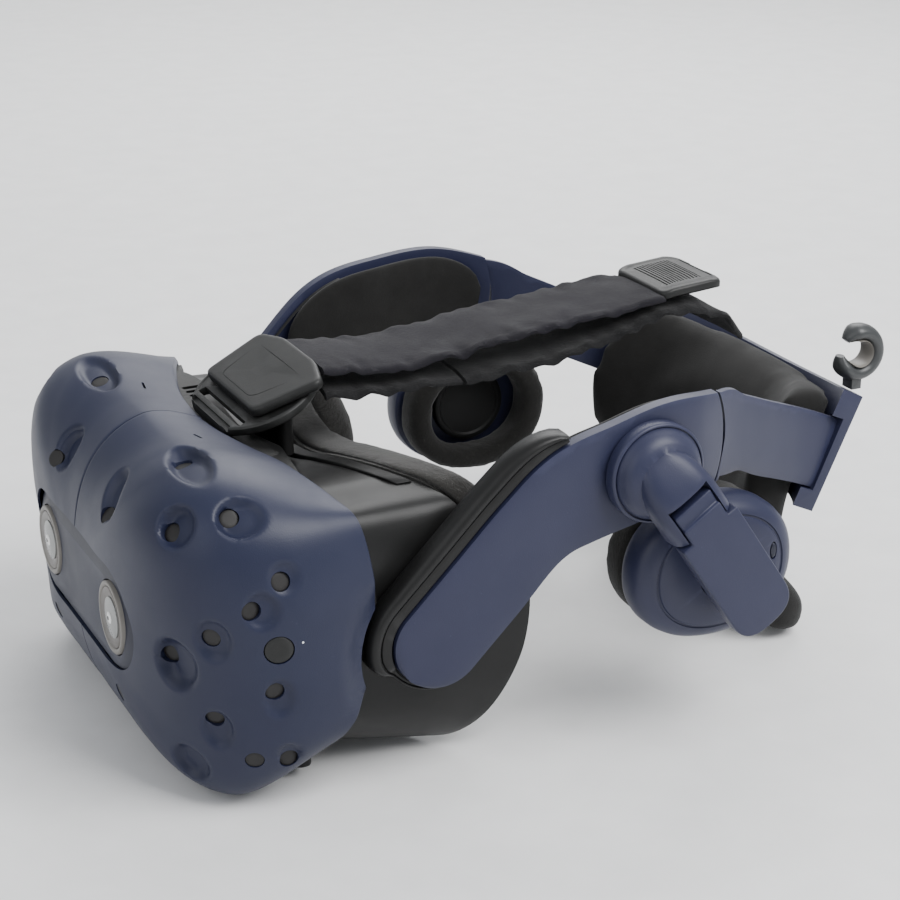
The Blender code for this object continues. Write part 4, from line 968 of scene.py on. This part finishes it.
def straps(look):
    front = ((80.5, 57), (96, 55), (112, 54.5), (129.5, 54.5))
    rear = ((131, 54.5), (158, 56), (182, 60), (200, 65), (220, 67), (233, 62), (240, 54))
    upper = ((79.8, 64.4), (92, 63.6), (106, 62.0), (125, 63), (143, 66), (162, 67.5), (183, 69.5), (207.5, 71.6))
    split, meet = 0.38, (0, 121, 63)        # where the upper strap's two pieces meet
    lower, top = (19, "loops", 0.7, 2.3), (18.5, "webbing", 0.6, 1.9)
    parts = (
        ("strap_loop_front", "strap_lower_front", front, lower, 3.0, "face_frame", (0, 1), (0, 80, 57), (0, 130, 54)),
        ("strap_loop_rear", "strap_lower_rear", rear, lower, 7.0, "rear_unit", (0, 1), (0, 240, 54), (0, 131, 54)),
        ("strap_top", "strap_upper", upper, top, 11.0, "rear_unit", (split, 1), (0, 207, 71), meet),
        ("strap_top_front", None, upper, top, 11.0, "face_frame", (0, split), (0, 80, 64), meet))
    for name, node, points, (half, kind, wave, edge), seed, anchor, part, start, end in parts:
        item = raw_object(name, webbing(points, half, 2.2, wave, edge, seed, part))
        item.data.materials.append(look[kind])
        item.data.shade_smooth()
        item.data.set_sharp_from_angle(angle=math.radians(60))
        place(start)
        place(end)
        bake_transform(item)
        if node:
            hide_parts(node)
        path_length(points) * (part[1] - part[0]) * MM
    tab_points = ((207.5, 72), (213, 73.6), (219, 74.5), (226, 74.7), (232, 74))
    edge = rounded(((-17, 0), (17, 0), (17, 24.6), (-17, 24.6)), 5.0, 7)

    def on_tab(a, b, n):
        y, z = spline(tab_points, b / 24.6)
        return Vector((a, y, z + n - 0.5 * (a / 17) ** 2))
    loops = [[on_tab(a * s, 12.3 + (b - 12.3) * s, n) for a, b in edge]
             for n, s in ((-1.45, 0.97), (-1.1, 1.0), (0.7, 1.0), (1.25, 0.985), (1.5, 0.95), (1.5, 0.86), (1.2, 0.84),
                          (1.2, 0.4))]
    tab = raw_object("strap_end_tab", loft(loops))
    ribs = [slab(*[[[on_tab(a, 5.2 + k * 1.15 + w, n) for w in (0, 0.5)] for a in (-11.5, -6, 0, 6, 11.5)]
                   for n in (0.75, 3.0)]) for k in range(12)]
    boolean(tab, joined(*ribs))
    boolean(tab, box((-5.5, 231.0, 70), (5.5, 234, 80)))
    finish_piece(tab, look["grey"], "rear_unit", ["strap_tab"], "grey")


# ---------------------------------------------------------------- side arms
def outer_x(y):
    return sum(lerp_table(ARM_PLAN, y + d) for d in (-7, -3.5, 0, 3.5, 7)) / 5


def line_frame(line, t):
    y, z, half = spline(line, t)
    y0, z0, _ = spline(line, max(t - 0.01, 0))
    y1, z1, _ = spline(line, min(t + 0.01, 1))
    return Vector((0, y, z)), Vector((0, y1 - y0, z1 - z0)).normalized(), half


def arm_stations(line, count):
    centre, direction, half = line_frame(line, 0)
    stations = []
    for k in range(14):
        angle = math.pi / 2 * (k + 0.35) / 14
        stations.append((centre - direction * half * math.cos(angle), direction, half * math.sin(angle)))
    return stations + [line_frame(line, k / (count - 1)) for k in range(count)]


def strip(stations, columns, top, bottom, inset=0.0, crown=0.0, bulge=(0.0, 0.0)):
    """Bent slab along an arm: stations of (centre, direction, half width), hung from the outer face."""
    outer, inner = [], []
    last = len(stations) - 1
    for i, (centre, direction, half) in enumerate(stations):
        normal = Vector((0, -direction.z, direction.y))
        ends = bulge[0] * smooth(1 - 6 * i / last) + bulge[1] * smooth(1 - 6 * (last - i) / last)
        rows = [], []
        for j in range(columns):
            across = -1 + 2 * j / (columns - 1)
            p = centre + normal * across * max(half - inset, 0.4) + direction * ends * (1 - across * across)
            x = outer_x(p.y)
            rows[0].append(Vector((x - top - crown * across ** 4, p.y, p.z)))
            rows[1].append(Vector((x - bottom, p.y, p.z)))
        outer.append(rows[0])
        inner.append(rows[1])
    return slab(outer, inner)


def bracket(line, reach_out):
    """Black bracket: flat band round the cover's edge, then a glossy ridge, a groove and a thin lip."""
    sections = []
    centre, direction, half = line_frame(line, 0)
    for k in range(33):
        angle = math.radians(-80 + 170 * k / 32)
        outward = Vector((0, -direction.y * math.cos(angle) - direction.z * math.sin(angle),
                          -direction.z * math.cos(angle) + direction.y * math.sin(angle)))
        rise = smooth((math.degrees(angle) - 5) / 35)
        sections.append((centre, outward, half, 8.5, 0.3 + 0.7 * rise))
    for k in range(1, 30):
        t = 0.54 * k / 29
        spot, along, width = line_frame(line, t)
        start = 8.5 + (width - 11) * smooth((t - 0.1) / 0.14)
        sections.append((spot, Vector((0, -along.z, along.y)), width, start, 1.0))
    loops = []
    for index, (spot, outward, width, start, share) in enumerate(sections):
        left = (len(sections) - 1 - index) / 9
        taper = math.sqrt(1 - (1 - min(1.0, left + 0.04)) ** 2)
        if reach_out > 0:
            reach = width + 1.6 + (reach_out * share - 1.6) * taper
            edge = width + 0.7
            k = (reach - edge) / 8.0
            low = 1.9 + 3.4 * (1 - smooth((share - 0.3) / 0.5))
            high = low - 0.9 * share
            profile = ((start, 5.6), (edge, 5.6), (edge, low), (edge + 0.25 * k, low - 0.3),
                       (edge + 3.2 * k, low - 0.15), (edge + 3.5 * k, low + 0.35), (edge + 3.8 * k, low + 0.35),
                       (edge + 4.0 * k, high), (edge + 4.5 * k, high - 0.55 * share),
                       (edge + 5.4 * k, high - 0.8 * share), (edge + 6.3 * k, high - 0.6 * share),
                       (edge + 7.1 * k, high + 0.1), (edge + 7.7 * k, high + 1.2), (edge + 8.0 * k, high + 2.8),
                       (reach, 7.4), (reach - 0.5, 8.0), (start, 8.0))
        else:
            reach = width + reach_out
            profile = ((start, 6.6), (reach, 6.6), (reach, 7.2), (reach - 0.5, 8.0), (start, 8.0))
        loop = []
        for along, depth in profile:
            p = spot + outward * along
            loop.append(Vector((outer_x(p.y) - depth, p.y, p.z)))
        loops.append(loop)
    return loft(loops)


def arms(look):
    for side, name in SIDES:
        line = ARM_LINE[side]
        cover = flip(strip(arm_stations(line, 70), 23, 0, 5.0, crown=0.9, bulge=(0, 3.4)), side)
        piece("arm_shell_" + name, cover, look["arm"], "side_arms", ["arm_cover_" + name], "navy", bevel=0.7, steps=4)
        piece("hinge_bracket_" + name, flip(bracket(line, 8.6 if side > 0 else -2.0), side), look["satin"], "side_arms",
              ["arm_bracket_" + name], "black", bevel=0.12, angle=50, steps=2)
        band = strip([line_frame(BAND_LINE, k / 46) for k in range(47)], 17, 0.15, 3.2, 0.0, 0.7, bulge=(3.4, 0))
        piece("slide_band_" + name, flip(band, side), look["arm"], "side_arms", ["rack_band_" + name], "navy",
              bevel=0.5)
        temple_pad(look, line, side, name)


def temple_pad(look, line, side, name):
    stations = [line_frame(line, 0.3 + 0.67 * k / 30) for k in range(31)]
    rows = []
    for i, (centre, direction, half) in enumerate(stations):
        normal = Vector((0, -direction.z, direction.y))
        end = math.sqrt(max(0.02, 1 - (abs(i - 15) / 15.4) ** 6))
        row = []
        for c, s in circle(28):
            p = centre + normal * ((half - 1.8) * end * bulged(c, 0.55))
            depth = 8.9 + 3.0 * end * bulged(s, 0.75) * (1.0 if s > 0 else 0.85)
            p.x = outer_x(p.y) - depth + 0.25 * rough(p, 9, 3.0)
            row.append(p)
        rows.append(row)
    pad = piece("temple_cushion_" + name, flip(loft(rows), side), look["pad"], "side_arms", ["temple_pad_" + name],
                "foam")


# ---------------------------------------------------------------- on-ear speakers
def boom_spot(along, across, x, side):
    p = Vector((0, *PIVOT[side])) + BOOM_DIR * along + BOOM_SIDE * across
    return Vector((side * x, p.y, p.z))


def speakers(look):
    for side, name in SIDES:
        base = boom_spot(0, 0, 0, side)

        def at(a, b, along, side=side):
            return boom_spot(a, b, along, side)
        dome = turned(base, (side, 0, 0),
                      ((94.0, 15.6), (94.3, 16.4), (97.6, 16.5), (98.3, 16.3), (98.7, 15.9), (98.75, 15.5),
                       (98.1, 15.35), (98.1, 15.05), (99.0, 14.9), (99.6, 14.5), (101.0, 13.9), (102.6, 12.9),
                       (103.8, 11.4), (104.6, 9.0), (104.9, 5.0), (105.0, 0.6)), 96)
        neck = []
        for along, half, top in ((-9.5, 3.0, 103.0), (-8.4, 5.4, 105.0), (-6.5, 7.6, 106.9), (-4, 9.2, 108.6),
                                 (-1, 10.3, 110.4), (2.5, 10.9, 112.0), (6.5, 11.2, 113.1), (11, 11.3, 113.6),
                                 (17.3, 11.3, 113.75)):
            low = 99.0 + (along > 2) * min(4.5, (along - 2) * 0.8)
            section = []
            for k in range(33):
                angle = math.pi * k / 32
                c, s = math.cos(angle), math.sin(angle)
                section.append(at(along, half * bulged(c, 0.62), low + (top - low) * abs(s) ** 0.5))
            neck.append(section)
        hub = raw_object("speaker_hub_" + name, dome)
        boolean(hub, loft(neck), "UNION")
        boolean(hub, prism(((4.4, -7.9), (22, -7.9), (22, 7.9), (4.4, 7.9)), 103.6, 120, at))
        finish_piece(hub, look["arm"], "swing_" + name, ["pivot_hub_" + name], "navy", bevel=0.3, angle=40)
        outline = [(7.4, -7.35), (18.1, -7.35), (18.1, -11.2)]
        outline += [(52.2 + 10.4 * abs(math.cos(a)) ** 0.72, 11.2 * bulged(math.sin(a), 0.72))
                    for a in (-math.pi / 2 + math.pi * k / 26 for k in range(27))]
        outline += [(18.1, 11.2), (18.1, 7.35), (7.3, 7.35)]
        boom = raw_object("speaker_boom_" + name, prism(outline, 108, 113.7, at))
        lip = prism(((5.0, -9), (12.2, -9), (12.2, 9), (5.0, 9)), 112.3, 118, at)
        boolean(boom, lip)
        post = turned(boom_spot(CUP_ALONG, 0, 0, side), (side, 0, 0),
                      ((91.2, 3), (93, 5), (95, 4), (97, 3.5), (108.5, 5)), 32)
        boolean(boom, post, "UNION")
        finish_piece(boom, look["arm"], "boom_" + name, ["boom_" + name], "navy", bevel=0.75, steps=4)
        ear_cup(look, side, name)


def ear_cup(look, side, name):
    centre = boom_spot(CUP_ALONG, 0, 0, side)
    body = "cup_" + name

    def at(a, b, along):
        return Vector((side * along, centre.y + a, centre.z + b))
    profile = ((82, 0.95), (82.5, 0.985), (84.2, 1.0), (88, 0.998), (90.4, 0.98), (92.2, 0.945), (93.6, 0.895),
               (94.5, 0.84), (94.9, 0.795), (94.5, 0.785), (94.5, 0.765), (95.1, 0.755), (95.7, 0.68), (95.95, 0.55),
               (96, 0.3))
    shell = raw_object("speaker_cup_" + name,
                       loft([[at(a * s, b * s, x) for a, b in oval(CUP_HALF_LONG, CUP_HALF_HIGH, 96, 2.15)]
                             for x, s in profile]))
    spots = {1: ((19.5, 4), (19.5, -4)), -1: ((19.5, 0),)}[side]
    names = {1: ("volume_up_button", "volume_down_button"), -1: ("mute_button",)}[side]
    cuts = [rod(at(0, 0, 89.5), at(0, 0, 102), 8.6, 64)]
    cuts += [prism(oval(1.45, 3.1, 32), 90.2, 100, lambda p, q, x, a=a, b=b: at(a + p, b + q, x)) for a, b in spots]
    boolean(shell, joined(*cuts))
    finish_piece(shell, look["arm"], body, ["cup_shell_" + name], "navy", bevel=0.25, angle=45)
    well = turned(at(0, 0, 0), (side, 0, 0), ((89.6, 8.4), (90.0, 8.4), (90.1, 7.6), (90.1, 3.4)), 48)
    piece("speaker_well_" + name, well, look["black"], body, slot="black")
    for button, (a, b) in zip(names, spots):
        cap = loft([[at(a + p * s, b + q * s, x) for p, q in oval(1.2, 2.8, 32)]
                    for x, s in ((91.3, 0.9), (94.0, 1.0), (95.4, 0.97), (95.8, 0.8), (95.85, 0.3))])
        piece(button + "_cap", cap, look["plate_shaded_copy"], button, [button], "navy_dark")
    driver = turned(at(0, 0, 0), (side, 0, 0), ((81.7, 14.5), (79.2, 14.5), (78.7, 14.1), (78.6, 12.5), (79.4, 11.8),
                                                (79.0, 6.0), (78.7, 1.0)), 64)
    piece("speaker_grille_" + name, driver, look["black"], body, ["ear_driver_" + name], "grey")
    rows = []
    count, around_section = 72, 28
    for i in range(count):
        turn = 2 * math.pi * i / count
        a, b = oval(CUP_HALF_LONG, CUP_HALF_HIGH, count, 2.15)[i]
        row = []
        for k in range(around_section):
            angle = 2 * math.pi * k / around_section
            c, s = math.cos(angle), math.sin(angle)
            size = 0.80 + 0.165 * bulged(c, 0.8)
            x = 75.0 + 6.6 * bulged(s, 0.7)
            p = at(a * size, b * size, x)
            lump = 0.5 * rough(p, 11, 8.0 + side) + 0.3 * rough(p, 2.6, 1.0) * (1 + math.sin(turn * 3))
            row.append(p + Vector((0, p.y - centre.y, p.z - centre.z)).normalized() * lump * (1 if c > 0 else -1))
        rows.append(row)
    cushion = piece("ear_pad_" + name, ring_body(rows), look["cushion"], body, ["ear_cushion_" + name], "foam")


# ---------------------------------------------------------------- rear cradle
def rear_place(x, d, n):
    return REAR_ORIGIN + Vector((x, 0, 0)) + REAR_D * d + REAR_N * n


def rear_bow(x):
    return REAR_BOW * (1 - abs(x / REAR_HALF_WIDTH) ** 2.4)


def rear_cradle(look):
    grids = ([], [])
    count = 61
    for i in range(count):
        x = REAR_HALF_WIDTH * math.sin(math.pi * (i / (count - 1) - 0.5))
        for grid, extra in zip(grids, (REAR_THICK, 0.0)):
            high = REAR_HALF_HIGH - 2 * (1 - (x / REAR_HALF_WIDTH) ** 2)
            grid.append([rear_place(x, rear_bow(x) + extra, high * n) for n in (-1, -0.6, -0.2, 0.2, 0.6, 1)])
    housing = raw_object("cradle_housing", slab(*grids))
    slots = []
    for side, _ in SIDES:
        stations = [line_frame(BAND_LINE, 0.68 + 0.32 * k / 8) for k in range(9)]
        slots.append(flip(strip(stations, 9, -2.5, 4.6, -0.8), side))
    pocket = rod(rear_place(0, REAR_BOW - 1, 0), rear_place(0, REAR_BOW + 6, 0), 10.5, 48)
    bore = rod(rear_place(0, REAR_BOW + 5, 0), rear_place(0, REAR_BOW + 12, 0), 4.4, 32)
    boolean(housing, joined(*slots, pocket))
    boolean(housing, bore)
    finish_piece(housing, look["arm"], "rear_unit", ["rear_housing"], "navy", bevel=1.1, steps=4, angle=50)
    loops = []
    matrix = axis_matrix(rear_place(0, 0, 0), REAR_D)
    for along, r in ((0.8, 8), (5, 8), (5.2, 4), (9.6, 4), (9.8, 15.2), (10.4, 16.6), (11.2, 17), (17.0, 16.4),
                     (18.2, 15.4), (18.8, 14), (18.6, 12.8), (18.4, 6), (18.5, 1)):
        loop = []
        for k in range(144):
            angle = 2 * math.pi * k / 144
            edge = r - 0.35 * (k % 4 < 2) * (along > 10.3) * (along < 18)
            loop.append(matrix @ Vector((edge * math.cos(angle), edge * math.sin(angle), REAR_BOW + along)))
        loops.append(loop)
    piece("adjusting_dial", loft(loops), look["grey"], "dial", ["size_dial"], "grey")


def rear_cushion(look):
    rows = []
    columns = 61
    for i in range(columns):
        x = 57.5 * math.sin(math.pi * (i / (columns - 1) - 0.5))
        middle = 1 - (x / 60) ** 2
        forward = 10 * (x / 56) ** 4
        bow = rear_bow(x)
        drop = 1.0 - 0.2 * (1 - smooth((abs(x) - 18) / 8))
        top = 16 + 3 * middle
        points = [(bow - 1.3, top), (bow - 1.3, 0), (bow - 1.3, -18), (bow * 0.6 + 6, -33 * drop),
                  (bow * 0.6 + 10, -45 * drop), (bow * 0.4 + 23, -50 * drop), (bow * 0.4 + 35, -54.5 * drop),
                  (bow * 0.4 + 39.5, -62 * drop), (bow * 0.4 + 33, -69 * drop), (bow * 0.4 + 18, -65.5 * drop),
                  (bow * 0.4 + 8, -58.5 * drop), (bow * 0.6 - 5, -48 * drop), (bow * 0.6 - 9, -36 * drop),
                  (bow - 16 - forward, -20), (bow - 16 - forward, 0), (bow - 12 - forward, top - 1),
                  (bow - 6, top + 1.5)]
        centre_d = sum(p[0] for p in points) / len(points)
        row = []
        steps = 78
        closed = points + [points[0]]
        edge = math.sqrt(max(0.0, 1 - (abs(x) / 58.5) ** 10))
        for k in range(steps):
            d, n = spline(closed, k / steps)
            narrow = 1 - 0.07 * smooth((-n / max(drop, 0.1) - 26) / 18)
            d = centre_d + (d - centre_d) * (0.72 + 0.28 * edge)
            p = rear_place(x * narrow, d, n)
            lump = 0.9 * rough(p, 22, 4.0) + 0.3 * rough(p, 6, 6.0)
            row.append(p + Vector((0, -0.8, 0.5)) * lump * (k > steps * 0.5))
        rows.append(row)
    cushion = piece("cradle_cushion", loft(rows), look["pad"], "rear_unit", ["rear_pad"], "foam", bevel=2.5, angle=60)
    inflate(cushion, 4.5, 2.6)


def cable_hook(look):
    centre = rear_place(44, 16, REAR_HALF_HIGH + 12.5)

    def arc(first, last, profile, steps=40):
        loops = []
        for k in range(steps + 1):
            share = k / steps
            angle = math.radians(first + (last - first) * share) + 0.15
            spoke = REAR_D * math.cos(angle) + REAR_N * math.sin(angle)
            thin = min(1.0, 0.45 + 5 * min(share, 1 - share))
            loops.append([centre + spoke * (6.2 + (r - 6.2) * thin) + Vector((x * thin, 0, 0)) for x, r in profile])
        return loft(loops)
    hook = raw_object("cable_hook", arc(152, -158, [(4.6 * c, 7.4 + 2.9 * s) for c, s in circle(20)]))
    boolean(hook, box((41.2, centre.y - 3, centre.z - 13), (46.8, centre.y + 1, centre.z - 5.6)), "UNION")
    finish_piece(hook, look["clip"], "rear_unit", ["cable_clip"], "grey", bevel=0.4)
    ring = arc(146, -150, [(4.0 * c, 4.75 + 0.4 * s) for c, s in circle(16)])
    piece("cable_hook_lining", ring, look["ring"], "rear_unit", slot="grey")


# ---------------------------------------------------------------- room, light and camera
def studio(look):
    bm = bmesh.new()
    profile = [(-2.2, 0.0), (-0.4, 0.0), (1.7, 0.0)]
    profile += [(1.7 + 0.45 * math.sin(a), 0.45 - 0.45 * math.cos(a))
                for a in (math.pi / 2 * k / 16 for k in range(1, 17))]
    profile += [(2.15, 2.4)]
    view = Vector((-0.9, 0.43, 0)).normalized()
    side = Vector((view.y, -view.x, 0))
    for a, b in zip(profile, profile[1:]):
        corners = [view * end[0] + side * reach + Vector((0, 0, end[1]))
                   for end, reach in ((a, -2.6), (a, 2.6), (b, 2.6), (b, -2.6))]
        bm.faces.new([bm.verts.new(c) for c in corners])
    bmesh.ops.remove_doubles(bm, verts=bm.verts, dist=1e-5)
    mesh = bpy.data.meshes.new("studio_floor")
    bm.to_mesh(mesh)
    bm.free()
    mesh.shade_smooth()
    floor = bpy.data.objects.new("studio_floor", mesh)
    floor.location.z = cad_box[0].z - 0.0004
    mesh.materials.append(look["floor"])
    bpy.context.scene.collection.objects.link(floor)

    world = bpy.data.worlds.new("soft_room")
    world.use_nodes = True
    background = world.node_tree.nodes["Background"]
    background.inputs[0].default_value = (0.93, 0.96, 1.0, 1.0)
    background.inputs[1].default_value = 0.66
    bpy.context.scene.world = world
    middle = (cad_box[0] + cad_box[1]) / 2
    for name, where, size, power in (("key", (0.62, 0.35, 0.85), 0.7, 17.0), ("fill", (0.3, -0.9, 0.5), 0.8, 2.6),
                                     ("rim", (-0.8, 0.6, 0.8), 0.8, 5.0), ("backdrop", (-1.0, 0.5, 1.1), 1.2, 17.0)):
        light = bpy.data.lights.new(name, "AREA")
        light.size, light.energy = size, power
        item = bpy.data.objects.new(name, light)
        item.location = middle + Vector(where)
        item.rotation_mode = "QUATERNION"
        facing = (0.25, -0.1, 1.0) if name == "backdrop" else where
        item.rotation_quaternion = Vector(facing).to_track_quat("Z", "Y")
        bpy.context.scene.collection.objects.link(item)

    camera = bpy.data.cameras.new("photo_view")
    camera.lens, camera.sensor_width = 87.0, 36.0
    camera.clip_start, camera.clip_end = 0.02, 20.0
    eye = bpy.data.objects.new("photo_view", camera)
    right = Vector((0.4348, 0.9005, 0)).normalized()
    behind = Vector((0.8407, -0.4059, 0.3584)).normalized()
    up = behind.cross(right)
    turn = Matrix((right, up, behind)).transposed().to_4x4()
    eye.matrix_world = Matrix.Translation(place((633.67, -172.15, 292.04))) @ turn
    bpy.context.scene.collection.objects.link(eye)
    bpy.context.scene.camera = eye


def main():
    look = make_materials()
    front_shells(look)
    camera_plate(look)
    mid_frame(look)
    optics(look)
    face_frame(look)
    strap_anchor(look)
    straps(look)
    arms(look)
    speakers(look)
    rear_cradle(look)
    rear_cushion(look)
    cable_hook(look)
    studio(look)


main()
